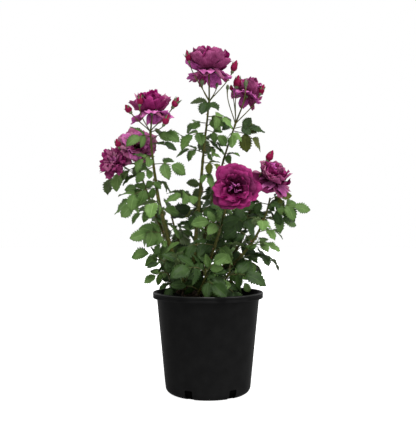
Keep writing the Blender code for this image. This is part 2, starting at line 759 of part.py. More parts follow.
def make_pot():
    """Thin turned wall with a rolled rim, cut by drain notches at its lower corner."""
    corner = (WALL_FOOT_RADIUS - CORNER_ROUND, CORNER_ROUND)
    rim_low = POT_HEIGHT - RIM_DEPTH
    profile = [(0.0, FLOOR)]
    profile += arc(corner, CORNER_ROUND - WALL, -90, 0, 2)
    profile[1] = (corner[0], FLOOR)
    profile.append((wall_inner_radius(POT_HEIGHT - RIM_ROUND), POT_HEIGHT - RIM_ROUND))
    profile.append((wall_inner_radius(POT_HEIGHT) + RIM_ROUND, POT_HEIGHT))
    profile += arc((RIM_RADIUS - RIM_ROUND, POT_HEIGHT - RIM_ROUND), RIM_ROUND, 90, 0, 2)
    profile.append((RIM_RADIUS, rim_low))
    profile.append((WALL_TOP_RADIUS, rim_low))
    profile += arc(corner, CORNER_ROUND, 0, -90, 3)
    profile.append((0.0, 0.0))
    pot = turned("pot", profile, plastic)
    for k in range(DRAINS):
        turn = DRAIN_FIRST + math.tau * k / DRAINS - math.pi / 2
        shape = bmesh.new()
        bmesh.ops.create_cube(shape, size=1.0)
        mesh = bpy.data.meshes.new("drain")
        shape.to_mesh(mesh)
        shape.free()
        cutter = put("drain cutter", mesh, None, guides)
        cutter.scale = (DRAIN_DEPTH * 2, DRAIN_WIDTH, DRAIN_HEIGHT * 2)
        cutter.rotation_euler = (0.0, 0.0, turn)
        reach = WALL_FOOT_RADIUS
        cutter.location = (reach * math.cos(turn), reach * math.sin(turn), 0.0)
        cutter.hide_render = True
        cutter.display_type = "WIRE"
        cut = pot.modifiers.new("Drain", "BOOLEAN")
        cut.operation = "DIFFERENCE"
        cut.object = cutter
    return pot


def make_potting_mix():
    """The filling, one gap clear of the pot's floor and wall."""
    foot = FLOOR + GAP
    clear = GAP / math.cos(WALL_SLOPE)
    corner = WALL_FOOT_RADIUS - CORNER_ROUND
    profile = [
        (0.0, SOIL_LEVEL),
        (wall_inner_radius(SOIL_LEVEL) - clear - SOIL_EDGE, SOIL_LEVEL),
        (wall_inner_radius(SOIL_LEVEL) - clear, SOIL_LEVEL - SOIL_EDGE),
        (wall_inner_radius(CORNER_ROUND) - clear, CORNER_ROUND),
        (corner - SOIL_EDGE, foot),
        (0.0, foot),
    ]
    return turned("potting_mix", profile, mix)


def make_trunk():
    """The knobbly union: a flared foot on the soil, a burl, and the start of each limb."""
    parts = new_collection("trunk parts")
    shape = bmesh.new()
    low = SOIL_LEVEL + GAP
    high = UNION_CENTRE.z
    middle = Matrix.Translation((UNION_CENTRE.x, UNION_CENTRE.y, (low + high) / 2))
    bmesh.ops.create_cone(shape, cap_ends=True, segments=12, radius1=FLARE_FOOT_RADIUS,
                          radius2=FLARE_TOP_RADIUS, depth=high - low, matrix=middle)
    mesh = bpy.data.meshes.new("flare")
    shape.to_mesh(mesh)
    shape.free()
    flare = put("flare", mesh, None, plant)
    burl = ellipsoid(UNION_CENTRE, Vector((0, 0, 1)), UNION_SIZE.z, 1.0, 10, 6, "burl", parts)
    for vert in burl.data.vertices:
        vert.co.x = UNION_CENTRE.x + (vert.co.x - UNION_CENTRE.x) * UNION_SIZE.x
        vert.co.y = UNION_CENTRE.y + (vert.co.y - UNION_CENTRE.y) * UNION_SIZE.y
    for name, limb in LIMBS.items():
        if name in FORKS:
            continue
        end = limb.foot_radius
        radii = [end * 1.5, end * 1.3, end * STUB_SWELL, end * STUB_SWELL]
        tube(stub_path(name), radii, 4, "stub", parts)
    return join("trunk", flare, parts, bark)


def make_bough(name):
    points, radii = limb_path(name, 0.0, LIMBS[name].bare, BOUGH_SPANS)
    item = tube(points, radii, BOUGH_SIDES, "cane_" + name, plant)
    item.data.materials.append(cane)
    item.data.shade_smooth()
    item.data.set_sharp_from_angle(angle=math.radians(50))


def make_leafy_mass(name, number, leaves):
    """One stretch of stem with its compound leaves, joined into one solid."""
    first, last = stretches(name)[number]
    points, radii = limb_path(name, first, last, STEM_SPANS)
    title = f"leaves_{name}_{LIMBS[name].masses[number]}"
    parts = new_collection(title + " parts")
    stem = tube(points, radii, 4, title + " stem", plant)
    for leaf in leaves:
        radii = [PETIOLE_RADIUS] + [RACHIS_RADIUS] * (len(leaf.rachis) - 1)
        tube(leaf.rachis, radii, 3, "rachis", parts)
        for blade in leaf.blades:
            put("leaflet", mesh_from(blade_solid(blade), "leaflet"), None, parts)
    join(title, stem, parts, foliage)


def make_bloom(bloom, parts):
    """A rose: a full cup, with a ring of outer petals spread or hanging round it."""
    axis = pointing(bloom.heading, bloom.rise)
    calyx = flower_base(bloom)
    half = bloom.cup_height / 2
    ellipsoid(calyx + axis * half, axis, half, bloom.cup_radius, 8, 5, "cup", parts)
    side = axis.cross(ASKEW).normalized()
    other = axis.cross(side)
    lean = math.radians(bloom.skirt)
    for k in range(OUTER_PETALS):
        turn = math.tau * k / OUTER_PETALS
        out = side * math.cos(turn) + other * math.sin(turn)
        along = out * math.cos(lean) + axis * math.sin(lean)
        normal = axis * math.cos(lean) - out * math.sin(lean)
        base = calyx + axis * (bloom.cup_height * (0.22 + PETAL_STEP_UP * k)) - out * (PETAL_STEP_IN * k)
        petal = Blade(base, along, normal, bloom.petal, bloom.petal * PETAL_WIDTH)
        put("petal", mesh_from(blade_solid(petal, PETAL_EXTRA), "petal"), None, parts)


def make_truss(name):
    """The flower stalks at a cane's tip with their roses and buds, joined into one solid."""
    title = "roses_" + name
    parts = new_collection(title + " parts")
    tip = limb_point(name, 1.0)
    ahead = limb_along(name, 1.0)
    radius = LIMBS[name].tip_radius * FORK_SWELL
    foot = tube([tip + ahead * GAP, tip + ahead * LEAD * 1.6], [radius, radius * 0.9], 6, "foot", plant)
    for bloom in BLOOMS:
        if bloom.limb == name:
            path = stalk_path(bloom, bloom.cup_height * 0.2)
            tube(path, [STALK_RADIUS] * len(path), 3, "stalk", parts)
            make_bloom(bloom, parts)
    for bud in BUDS:
        if bud.limb == name and bud.girth > SMALL_BUD:
            path = stalk_path(bud, BUD_SUNK)
            tube(path, [BUD_STALK_RADIUS] * len(path), 3, "stalk", parts)
            axis = pointing(bud.heading, bud.rise)
            half = bud.length / 2
            ellipsoid(flower_base(bud) + axis * half, axis, half, bud.girth, 6, 3, "bud", parts)
    join(title, foot, parts, petals)


clear_scene()
plant = new_collection("rose bush")
guides = new_collection("guides")
plastic = paint("pot plastic", (0.012, 0.012, 0.013), 0.55)
mix = paint("potting mix", (0.045, 0.030, 0.020), 0.95)
bark = paint("old bark", (0.130, 0.085, 0.050), 0.85)
cane = paint("green cane", (0.140, 0.190, 0.050), 0.55)
foliage = paint("rose leaf", (0.060, 0.160, 0.040), 0.50)
petals = paint("rose petal", (0.300, 0.020, 0.170), 0.60)
triangle_section()
make_pot()
make_potting_mix()
make_trunk()
all_leaves, skipped_leaves = grow()
for limb_name, limb in LIMBS.items():
    if limb.bare > 0:
        make_bough(limb_name)
    for mass_number in range(len(limb.masses)):
        own_leaves = [leaf for leaf in all_leaves if (leaf.limb, leaf.mass) == (limb_name, mass_number)]
        make_leafy_mass(limb_name, mass_number, own_leaves)
for truss_name in sorted({bloom.limb for bloom in BLOOMS}):
    make_truss(truss_name)
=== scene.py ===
"""Rose bush in a black nursery pot: bark, canes, leaves, roses and buds over the fixed frame.

Metres, +Z up.  The origin is the centre of the pot's flat underside and -Y is the front.
Headings turn about +Z from +X, in degrees.
"""

import math
import random
from collections import namedtuple

import bpy
from mathutils import Matrix, Vector, noise
from mathutils.bvhtree import BVHTree


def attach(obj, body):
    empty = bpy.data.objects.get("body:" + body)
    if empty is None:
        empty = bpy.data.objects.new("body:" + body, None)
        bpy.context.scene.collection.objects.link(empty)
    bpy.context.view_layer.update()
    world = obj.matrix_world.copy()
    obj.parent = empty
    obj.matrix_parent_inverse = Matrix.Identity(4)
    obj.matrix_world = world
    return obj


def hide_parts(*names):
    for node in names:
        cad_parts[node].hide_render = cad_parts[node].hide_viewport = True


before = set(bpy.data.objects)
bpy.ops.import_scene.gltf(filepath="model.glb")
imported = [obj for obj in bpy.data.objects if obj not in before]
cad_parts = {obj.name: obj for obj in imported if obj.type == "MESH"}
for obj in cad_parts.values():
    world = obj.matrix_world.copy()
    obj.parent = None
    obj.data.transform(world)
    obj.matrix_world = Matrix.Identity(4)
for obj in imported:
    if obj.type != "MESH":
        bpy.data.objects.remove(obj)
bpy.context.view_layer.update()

# ---------------------------------------------------------------- camera
# A level camera in front of the plant, a little above the pot's rim.

CAMERA_PLACE = (0.0, -1.40, 0.351)
CAMERA_RISE = math.radians(0.17)
CAMERA_LENS = 54.0

camera_data = bpy.data.cameras.new("camera")
camera_data.lens = CAMERA_LENS
camera_data.sensor_width = 36.0
camera_data.clip_start = 0.05
camera = bpy.data.objects.new("camera", camera_data)
camera.location = CAMERA_PLACE
camera.rotation_euler = (math.pi / 2 + CAMERA_RISE, 0.0, 0.0)
bpy.context.scene.collection.objects.link(camera)
bpy.context.scene.camera = camera

# ---------------------------------------------------------------- floor and light
# A plain pale floor that runs out of sight, one broad soft lamp overhead and a
# weaker one in front, and an even white surround.

FLOOR_SIDE = 16.0
FLOOR_DROP = 0.0004
FLOOR_COLOUR = (0.55, 0.55, 0.55, 1.0)
FLOOR_GLOW = 0.25
SURROUND_SEEN = 1.0
SURROUND_LIGHT = 0.48


def deselect():
    """Nothing selected, so that the next operator acts only on what it's meant to."""
    for item in bpy.context.selected_objects:
        item.select_set(False)


def brighter_when_seen(tree, strength, dim):
    """Full strength to the camera and a dimmer one to all that is lit."""
    looked_at = tree.nodes.new("ShaderNodeLightPath")
    span = tree.nodes.new("ShaderNodeMapRange")
    span.inputs["To Min"].default_value = dim
    span.inputs["To Max"].default_value = SURROUND_SEEN
    tree.links.new(looked_at.outputs["Is Camera Ray"], span.inputs["Value"])
    tree.links.new(span.outputs["Result"], strength)


def pointing(heading, rise):
    """Unit vector for a heading and a rise above the level, in degrees."""
    level = math.cos(math.radians(rise))
    turn = math.radians(heading)
    return Vector((math.cos(turn) * level, math.sin(turn) * level, math.sin(math.radians(rise))))


deselect()
bpy.ops.mesh.primitive_plane_add(size=FLOOR_SIDE, location=(0.0, 0.0, -FLOOR_DROP))
studio_floor = bpy.context.object
studio_floor.name = "studio_floor"
floor_paint = bpy.data.materials.new("pale floor")
floor_paint.use_nodes = True
floor_shader = floor_paint.node_tree.nodes["Principled BSDF"]
floor_shader.inputs["Base Color"].default_value = FLOOR_COLOUR
floor_shader.inputs["Roughness"].default_value = 0.9
floor_shader.inputs["Emission Color"].default_value = (1.0, 1.0, 1.0, 1.0)
brighter_when_seen(floor_paint.node_tree, floor_shader.inputs["Emission Strength"], FLOOR_GLOW)
studio_floor.data.materials.append(floor_paint)

surround = bpy.data.worlds.new("surround")
bpy.context.scene.world = surround
surround.use_nodes = True
sky = surround.node_tree
sky_light = sky.nodes["Background"]
sky_light.inputs["Color"].default_value = (1.0, 1.0, 1.0, 1.0)
brighter_when_seen(sky, sky_light.inputs["Strength"], SURROUND_LIGHT)
bpy.context.scene.view_settings.view_transform = "Standard"


def lamp(name, heading, rise, strength, softness):
    """A far lamp that shines from a heading and a rise, with a soft edge to its shadows."""
    data = bpy.data.lights.new(name, "SUN")
    data.energy = strength
    data.angle = math.radians(softness)
    item = bpy.data.objects.new(name, data)
    item.rotation_euler = pointing(heading, rise).to_track_quat("Z", "Y").to_euler()
    bpy.context.scene.collection.objects.link(item)


lamp("overhead lamp", 280, 60, 2.8, 24)
lamp("front lamp", 338, 22, 1.1, 40)

# ---------------------------------------------------------------- nursery pot
# Blow-moulded black plastic: a thin tapered wall, a rolled lip with a groove round it,
# a rounded lower corner with six drain notches, and a ring pressed into the underside.

POT_SIDES = 128
POT_HEIGHT = 0.2095
RIM_RADIUS = 0.1155
RIM_DEPTH = 0.0125
RIM_ROUND = 0.0018
RIM_GROOVE = 0.0009
WALL_TOP_RADIUS = 0.1072
WALL_FOOT_RADIUS = 0.0895
CORNER_ROUND = 0.0140
WALL = 0.0020
FLOOR_THICK = 0.0026
DRAINS = 6
DRAIN_SIZE = (0.0300, 0.0170, 0.0410)
DRAIN_FIRST = math.radians(34 - 90)
DRAIN_ROUND = 0.0022
UNDERSIDE_RING = 0.052


def shaped_by(item, name, kind, **settings):
    """Give a piece one modifier with its settings, and apply it."""
    deselect()
    item.select_set(True)
    bpy.context.view_layer.objects.active = item
    modifier = item.modifiers.new(name, kind)
    for setting, value in settings.items():
        setattr(modifier, setting, value)
    bpy.ops.object.modifier_apply(modifier=modifier.name)


def shader_of(name, colour, roughness, gloss=0.5):
    """A new material with one Principled shader set to a plain colour."""
    material = bpy.data.materials.new(name)
    material.use_nodes = True
    shader = material.node_tree.nodes["Principled BSDF"]
    shader.inputs["Base Color"].default_value = (*colour, 1.0)
    shader.inputs["Roughness"].default_value = roughness
    shader.inputs["Specular IOR Level"].default_value = gloss
    return material, shader


def node(tree, kind, **values):
    """A new node with inputs, by name or as _0 by number, set to values or linked from sockets."""
    made = tree.nodes.new(kind)
    for name, value in values.items():
        socket = made.inputs[int(name[1:])] if name[0] == "_" else made.inputs[name.replace("_", " ")]
        if isinstance(value, bpy.types.NodeSocket):
            tree.links.new(value, socket)
        else:
            socket.default_value = value
    return made


def speckle_group():
    """Fine mottling on the piece's own coordinates: a grey value and a height."""
    tree = bpy.data.node_groups.new("mottle", "ShaderNodeTree")
    for name, size in (("Coarse", 60.0), ("Fine", 900.0)):
        socket = tree.interface.new_socket(name, in_out="INPUT", socket_type="NodeSocketFloat")
        socket.default_value = size
    tree.interface.new_socket("Value", in_out="OUTPUT", socket_type="NodeSocketFloat")
    tree.interface.new_socket("Height", in_out="OUTPUT", socket_type="NodeSocketFloat")
    enter = tree.nodes.new("NodeGroupInput")
    leave = tree.nodes.new("NodeGroupOutput")
    place = tree.nodes.new("ShaderNodeTexCoord").outputs["Object"]
    coarse = node(tree, "ShaderNodeTexNoise", Vector=place, Scale=enter.outputs["Coarse"], Detail=3.0)
    fine = node(tree, "ShaderNodeTexNoise", Vector=place, Scale=enter.outputs["Fine"], Detail=2.0)
    tree.links.new(coarse.outputs["Fac"], leave.inputs["Value"])
    tree.links.new(fine.outputs["Fac"], leave.inputs["Height"])
    return tree


mottle = speckle_group()


def mottled(material, shader, low, high, coarse, fine, strength, distance):
    """Wire the mottle group: a colour between two values, handed back, and bump from the height."""
    tree = material.node_tree
    group = tree.nodes.new("ShaderNodeGroup")
    group.node_tree = mottle
    group.inputs["Coarse"].default_value = coarse
    group.inputs["Fine"].default_value = fine
    ramp = tree.nodes.new("ShaderNodeValToRGB")
    ramp.color_ramp.elements[0].position = 0.32
    ramp.color_ramp.elements[1].position = 0.68
    ramp.color_ramp.elements[0].color = (*low, 1.0)
    ramp.color_ramp.elements[1].color = (*high, 1.0)
    tree.links.new(group.outputs["Value"], ramp.inputs["Fac"])
    tree.links.new(ramp.outputs["Color"], shader.inputs["Base Color"])
    bump = node(tree, "ShaderNodeBump", Strength=strength, Distance=distance, Height=group.outputs["Height"])
    tree.links.new(bump.outputs["Normal"], shader.inputs["Normal"])
    return ramp.outputs["Color"]


def mottled_skin(name, roughness, low, high, coarse, fine, strength, distance, gloss=0.5):
    """A plain mottled material in one step."""
    material, shader = shader_of(name, low, roughness, gloss)
    mottled(material, shader, low, high, coarse, fine, strength, distance)
    return material


def turned_shell(name, profile):
    """A ring raised through radius and height points by extruding and scaling, then capped."""
    deselect()
    radius, height = profile[0]
    bpy.ops.mesh.primitive_circle_add(vertices=POT_SIDES, radius=radius, fill_type="NGON",
                                      location=(0.0, 0.0, height))
    item = bpy.context.object
    item.name = name
    bpy.ops.object.transform_apply(location=True, rotation=True, scale=True)
    bpy.ops.object.mode_set(mode="EDIT")
    bpy.ops.mesh.select_mode(type="EDGE")
    bpy.ops.mesh.select_all(action="SELECT")
    for next_radius, next_height in profile[1:]:
        bpy.ops.mesh.extrude_edges_move(TRANSFORM_OT_translate={"value": (0, 0, next_height - height)})
        bpy.ops.transform.resize(value=(next_radius / radius, next_radius / radius, 1.0),
                                 center_override=(0.0, 0.0, next_height))
        radius, height = next_radius, next_height
    bpy.ops.mesh.edge_face_add()
    bpy.ops.mesh.select_all(action="SELECT")
    bpy.ops.mesh.remove_doubles(threshold=0.00001)
    bpy.ops.mesh.normals_make_consistent(inside=False)
    bpy.ops.object.mode_set(mode="OBJECT")
    return item


def rounded(centre, radius, first, last, steps):
    """Profile points round a corner, between two angles in degrees."""
    turns = [math.radians(first + (last - first) * i / steps) for i in range(steps + 1)]
    return [(centre[0] + radius * math.cos(t), centre[1] + radius * math.sin(t)) for t in turns]


def wall_radius(height):
    """Outer radius of the pot's tapered wall."""
    share = (height - CORNER_ROUND) / (POT_HEIGHT - RIM_DEPTH - CORNER_ROUND)
    return WALL_FOOT_RADIUS + (WALL_TOP_RADIUS - WALL_FOOT_RADIUS) * share


SHOULDER = POT_HEIGHT - 0.004
corner = (WALL_FOOT_RADIUS - CORNER_ROUND, CORNER_ROUND)
lip = (RIM_RADIUS - RIM_ROUND, POT_HEIGHT - RIM_ROUND)
rim_low = POT_HEIGHT - RIM_DEPTH
groove_height = POT_HEIGHT - RIM_DEPTH * 0.52
pot_profile = [(corner[0], FLOOR_THICK)]
pot_profile += rounded(corner, CORNER_ROUND - WALL, -60, 0, 4)
pot_profile.append((wall_radius(SHOULDER) - WALL, SHOULDER))
pot_profile.append((wall_radius(POT_HEIGHT) - WALL + RIM_ROUND, POT_HEIGHT))
pot_profile += rounded(lip, RIM_ROUND, 90, 0, 4)
pot_profile += [
    (RIM_RADIUS, groove_height + 0.0012),
    (RIM_RADIUS - RIM_GROOVE, groove_height),
    (RIM_RADIUS - 0.0002, groove_height - 0.0012),
    (RIM_RADIUS - 0.0002, rim_low + 0.0012),
    (RIM_RADIUS - 0.0014, rim_low),
    (WALL_TOP_RADIUS + 0.0006, rim_low),
    (WALL_TOP_RADIUS, rim_low - 0.0012),
]
pot_profile += rounded(corner, CORNER_ROUND, 0, -90, 7)
pot_profile += [
    (UNDERSIDE_RING + 0.0015, 0.0),
    (UNDERSIDE_RING + 0.0005, 0.0008),
    (UNDERSIDE_RING - 0.0005, 0.0008),
    (UNDERSIDE_RING - 0.0015, 0.0),
]
pot_shell = turned_shell("pot_shell", pot_profile)

for k in range(DRAINS):
    turn = DRAIN_FIRST + math.tau * k / DRAINS
    deselect()
    bpy.ops.mesh.primitive_cube_add(
        size=1.0, location=(WALL_FOOT_RADIUS * math.cos(turn), WALL_FOOT_RADIUS * math.sin(turn), 0.0),
        rotation=(0.0, 0.0, turn), scale=DRAIN_SIZE)
    notch = bpy.context.object
    shaped_by(notch, "Rounding", "BEVEL", width=DRAIN_ROUND, segments=3)
    shaped_by(pot_shell, "Drain", "BOOLEAN", operation="DIFFERENCE", object=notch, solver="EXACT")
    bpy.data.objects.remove(notch, do_unlink=True)
pot_shell.data.shade_smooth()
pot_shell.data.set_sharp_from_angle(angle=math.radians(42))

POT_BLACK = (0.0070, 0.0070, 0.0071)
POT_SHEEN = (0.0092, 0.0092, 0.0093)
RIM_HIGHLIGHT_BLACK = (0.0092, 0.0095, 0.0089)
black_plastic = mottled_skin("black nursery plastic", 0.42, POT_BLACK, POT_SHEEN,
                             45.0, 1100.0, 0.12, 0.0004, gloss=0.008)
pot_shell.data.materials.clear()
pot_shell.data.materials.append(black_plastic)
# The rounded top of the lip wears a paler black with more gloss: the paler colour is a painted highlight
# along the rim's edge.
rim_highlight_plastic = mottled_skin("painted rim highlight", 0.36, POT_SHEEN, RIM_HIGHLIGHT_BLACK,
                              30.0, 1100.0, 0.12, 0.0004, gloss=0.34)
pot_shell.data.materials.append(rim_highlight_plastic)
for face in pot_shell.data.polygons:
    beyond = math.hypot(face.center.x, face.center.y) > RIM_RADIUS - RIM_ROUND * 0.9
    if beyond and face.center.z > POT_HEIGHT - RIM_ROUND * 1.2:
        face.material_index = 1
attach(pot_shell, "root")
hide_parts("pot")

# ---------------------------------------------------------------- potting mix
# The pot is filled with moist dark bark and peat.  Loose crumbs and chips of bark
# lie over its level top.

SOIL_LEVEL = 0.1850
CRUMBS = 1500
CRUMB_SIZE = (0.0016, 0.0046)
CRUMB_REACH = 0.1005


class Bundle:
    """Corners, faces and map places of many like things, made one mesh at the end."""

    def __init__(self):
        self.corners = []
        self.faces = []
        self.places = []
        self.slots = []

    def add(self, corners, faces, places=None, slots=None):
        """One more thing; without places or slots it takes the map's middle and the first skin."""
        base = len(self.corners)
        self.corners.extend(tuple(corner) for corner in corners)
        self.faces.extend(tuple(base + i for i in face) for face in faces)
        self.places.extend(places or [(0.5, 0.5)] * len(corners))
        self.slots.extend(slots or [0] * len(faces))

    def piece(self, name, materials, slot, replaced=()):
        """The finished piece, smooth all over, riding on the plant."""
        mesh = bpy.data.meshes.new(name)
        mesh.from_pydata(self.corners, [], self.faces)
        layer = mesh.uv_layers.new(name="across and along")
        flat = [value for loop in mesh.loops for value in self.places[loop.vertex_index]]
        layer.uv.foreach_set("vector", flat)
        for material in materials:
            mesh.materials.append(material)
        mesh.polygons.foreach_set("material_index", self.slots)
        mesh.shade_smooth()
        mesh.update()
        item = bpy.data.objects.new(name, mesh)
        bpy.context.scene.collection.objects.link(item)
        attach(item, "root")
        if replaced:
            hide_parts(*replaced)
        return item


def chip(place, size, chance):
    """A bark chip: a squashed, turned box with knocked corners."""
    angle = chance.uniform(0, math.tau)
    turn = Matrix.Rotation(angle, 3, Vector(chance.choices((-1, 1, 0.4), k=3)).normalized())
    half = Vector((size, size * chance.uniform(0.45, 0.9), size * chance.uniform(0.25, 0.6)))
    corners = []
    for x, y, z in ((-1, -1, -1), (1, -1, -1), (1, 1, -1), (-1, 1, -1),
                    (-1, -1, 1), (1, -1, 1), (1, 1, 1), (-1, 1, 1)):
        knocked = Vector((x * half.x, y * half.y, z * half.z)) * chance.uniform(0.6, 1.0)
        corners.append(place + turn @ knocked)
    faces = [(0, 3, 2, 1), (4, 5, 6, 7), (0, 1, 5, 4), (1, 2, 6, 5), (2, 3, 7, 6), (3, 0, 4, 7)]
    return corners, faces


crumbs = Bundle()
crumb_chance = random.Random("crumbs")
for _ in range(CRUMBS):
    reach = CRUMB_REACH * math.sqrt(crumb_chance.random())
    turn = crumb_chance.uniform(0, math.tau)
    size = crumb_chance.uniform(*CRUMB_SIZE) * crumb_chance.uniform(0.5, 1.0)
    place = Vector((reach * math.cos(turn), reach * math.sin(turn), SOIL_LEVEL + size * 0.15))
    crumbs.add(*chip(place, size, crumb_chance))

MIX_LOW = (0.010, 0.007, 0.005)
MIX_HIGH = (0.050, 0.032, 0.020)
SHADED_MIX = (0.0016, 0.0015, 0.0014)
moist_mix = mottled_skin("moist bark and peat", 0.88, MIX_LOW, MIX_HIGH, 220.0, 700.0, 0.9, 0.0015)
bark_crumbs = crumbs.piece("bark_crumbs", [moist_mix], "potting_mix")
bark_crumbs.data.shade_flat()
potting_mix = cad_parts["potting_mix"]
potting_mix.material_slots[0].material = moist_mix
# The mix's sides and underside, turned away from the light, wear a near-black colour: painted shade.
shaded_mix, _ = shader_of("mix with painted shade", SHADED_MIX, 0.95, gloss=0.0)
potting_mix.data.materials.append(shaded_mix)
for face in potting_mix.data.polygons:
    if face.normal.z < 0.5:
        face.material_index = 1

# ---------------------------------------------------------------- trunk
# Old brown wood where the canes were budded: a knobbly union on a short flared foot,
# cut level with the mix, with the thick start of each cane growing out of it.

UNION_CENTRE = Vector((-0.031, 0.002, 0.203))
UNION_SIZE = (0.026, 0.023, 0.017)
FLARE_FOOT_RADIUS = 0.0270
FLARE_TOP_RADIUS = 0.0190
WOOD_GRAIN = 0.0013
UNION_SIDES = 32
STUB_SWOLLEN = 1.55
THICK_STUB = 1.25
STUB_END = 1.06
FURROW = 0.0009
KNOB = 0.0016
SMOOTH_FOOT = 0.004
LEAD = 0.0040
GAP = 0.0003

Cane = namedtuple("Cane", "foot bend tip foot_radius tip_radius bare masses")

# foot, bend and tip of each limb; the bare share is its bough and the rest is leafy.
CANES = {
    "left": Cane((-0.056, -0.010, 0.234), (-0.109, -0.019, 0.381), (-0.118, -0.033, 0.536),
                 0.0062, 0.0021, 0.24, ("low", "top")),
    "centre": Cane((-0.032, -0.002, 0.242), (-0.018, 0.002, 0.435), (0.002, 0.000, 0.604),
                   0.0052, 0.0019, 0.22, ("low", "mid", "top")),
    "front": Cane((-0.020, -0.020, 0.230), (0.022, -0.042, 0.308), (0.036, -0.080, 0.389),
                  0.0042, 0.0023, 0.30, ("top",)),
    "right_rear": Cane((-0.022, 0.016, 0.236), (0.000, 0.062, 0.398), (0.058, 0.050, 0.564),
                       0.0046, 0.0018, 0.30, ("low", "top")),
    "right": Cane((-0.006, -0.006, 0.226), (0.107, -0.011, 0.287), (0.130, -0.005, 0.406),
                  0.0044, 0.0018, 0.30, ("low", "top")),
    "right_inner": Cane((-0.008, 0.009, 0.229), (0.086, 0.027, 0.286), (0.090, 0.020, 0.402),
                        0.0042, 0.0019, 0.32, ("top",)),
    "rear_left": Cane((-0.046, 0.018, 0.232), (-0.059, 0.110, 0.291), (-0.092, 0.140, 0.395),
                      0.0042, 0.0018, 0.30, ("low", "top")),
    "rear_right": Cane((-0.030, 0.028, 0.230), (0.034, 0.097, 0.292), (0.070, 0.150, 0.388),
                       0.0042, 0.0018, 0.30, ("low", "top")),
}

# A cane that forks off another one's side: its parent and the share where it leaves.
FORKS = {"left_rear": ("left", 0.19)}
CANES["left_rear"] = Cane((-0.078, -0.006, 0.302), (-0.124, 0.024, 0.384), (-0.150, 0.038, 0.478),
                          0.0036, 0.0018, 0.14, ("top",))

# Short shoots about the foot, each one leafy mass standing on the union.
BASAL = {
    "basal_left": ((-0.064, -0.004, 0.212), (-0.084, -0.012, 0.238), (-0.090, -0.018, 0.275)),
    "basal_left_rear": ((-0.058, 0.020, 0.212), (-0.076, 0.046, 0.240), (-0.082, 0.062, 0.285)),
    "basal_front_left": ((-0.046, -0.026, 0.210), (-0.052, -0.056, 0.236), (-0.056, -0.070, 0.272)),
    "basal_front": ((-0.020, -0.034, 0.208), (-0.008, -0.064, 0.226), (-0.004, -0.082, 0.262)),
    "basal_front_right": ((0.002, -0.024, 0.208), (0.030, -0.056, 0.224), (0.044, -0.070, 0.256)),
    "basal_right": ((0.010, 0.000, 0.208), (0.046, 0.008, 0.222), (0.070, 0.010, 0.252)),
    "basal_right_rear": ((0.000, 0.024, 0.209), (0.026, 0.054, 0.228), (0.042, 0.070, 0.272)),
    "basal_rear": ((-0.030, 0.036, 0.208), (-0.030, 0.070, 0.232), (-0.022, 0.092, 0.276)),
}
BASAL = {name: Cane(*places, 0.0034, 0.0016, 0.0, ("all",)) for name, places in BASAL.items()}

LIMBS = {**CANES, **BASAL}


def limb_point(name, share):
    """Point on a limb's middle line at a share of its way from foot to tip."""
    limb = LIMBS[name]
    foot, bend, tip = Vector(limb.foot), Vector(limb.bend), Vector(limb.tip)
    return foot * (1 - share) ** 2 + bend * 2 * share * (1 - share) + tip * share ** 2


def limb_along(name, share):
    """The way a limb runs at a share of its length."""
    limb = LIMBS[name]
    early = Vector(limb.bend) - Vector(limb.foot)
    late = Vector(limb.tip) - Vector(limb.bend)
    return (early * (1 - share) + late * share).normalized()


def limb_radius(name, share):
    """A limb tapers evenly from foot to tip."""
    limb = LIMBS[name]
    return limb.foot_radius + (limb.tip_radius - limb.foot_radius) * share


def stub_path(name):
    """The trunk's own start of a limb, from inside the union to the limb's foot."""
    foot = limb_point(name, 0.0)
    ahead = limb_along(name, 0.0)
    inner = UNION_CENTRE.lerp(foot, 0.25)
    return [inner, inner.lerp(foot - ahead * LEAD, 0.6), foot - ahead * LEAD, foot]


def around(side, other, turn):
    """Direction at an angle between two that are square to each other."""
    return side * math.cos(turn) + other * math.sin(turn)


def ring_faces(rings, sides, closed_ends=True):
    """Faces that join rings of corners into a round body, its ends closed or open."""
    faces = []
    for low in range(0, (rings - 1) * sides, sides):
        for k in range(sides):
            after = (k + 1) % sides
            faces.append((low + k, low + after, low + sides + after, low + sides + k))
    if closed_ends:
        faces += [tuple(reversed(range(sides))), tuple(range((rings - 1) * sides, rings * sides))]
    return faces


def tube(points, radii, sides, closed_ends=True):
    """Corners, faces and map places of a round tube along a path, turned without twist."""
    corners = []
    places = []
    side = None
    run = 0.0
    for i, point in enumerate(points):
        ahead = (points[min(i + 1, len(points) - 1)] - points[max(i - 1, 0)]).normalized()
        if side is None:
            side = ahead.orthogonal().normalized()
        side = (side - ahead * side.dot(ahead)).normalized()
        other = ahead.cross(side)
        if i:
            run += (point - points[i - 1]).length
        for k in range(sides):
            turn = math.tau * k / sides
            corners.append(point + around(side, other, turn) * radii[i])
            places.append((k / sides, run * 10))
    return corners, ring_faces(len(points), sides, closed_ends), places


def smoothed(points, rounds=2):
    """The path with its bends cut off again and again, its two ends kept."""
    for _ in range(rounds):
        cut = [points[0]]
        for early, late in zip(points, points[1:]):
            cut += [early.lerp(late, 0.25), early.lerp(late, 0.75)]
        points = cut + [points[-1]]
    return points


wood = Bundle()
for name, limb in LIMBS.items():
    if name in FORKS:
        continue
    path = smoothed(stub_path(name))
    swollen = STUB_SWOLLEN * (THICK_STUB if name == "left" else 1.0)
    last = len(path) - 1
    radii = [limb.foot_radius * (swollen - (swollen - STUB_END) * i / last) for i in range(last + 1)]
    wood.add(*tube(path, radii, 12))

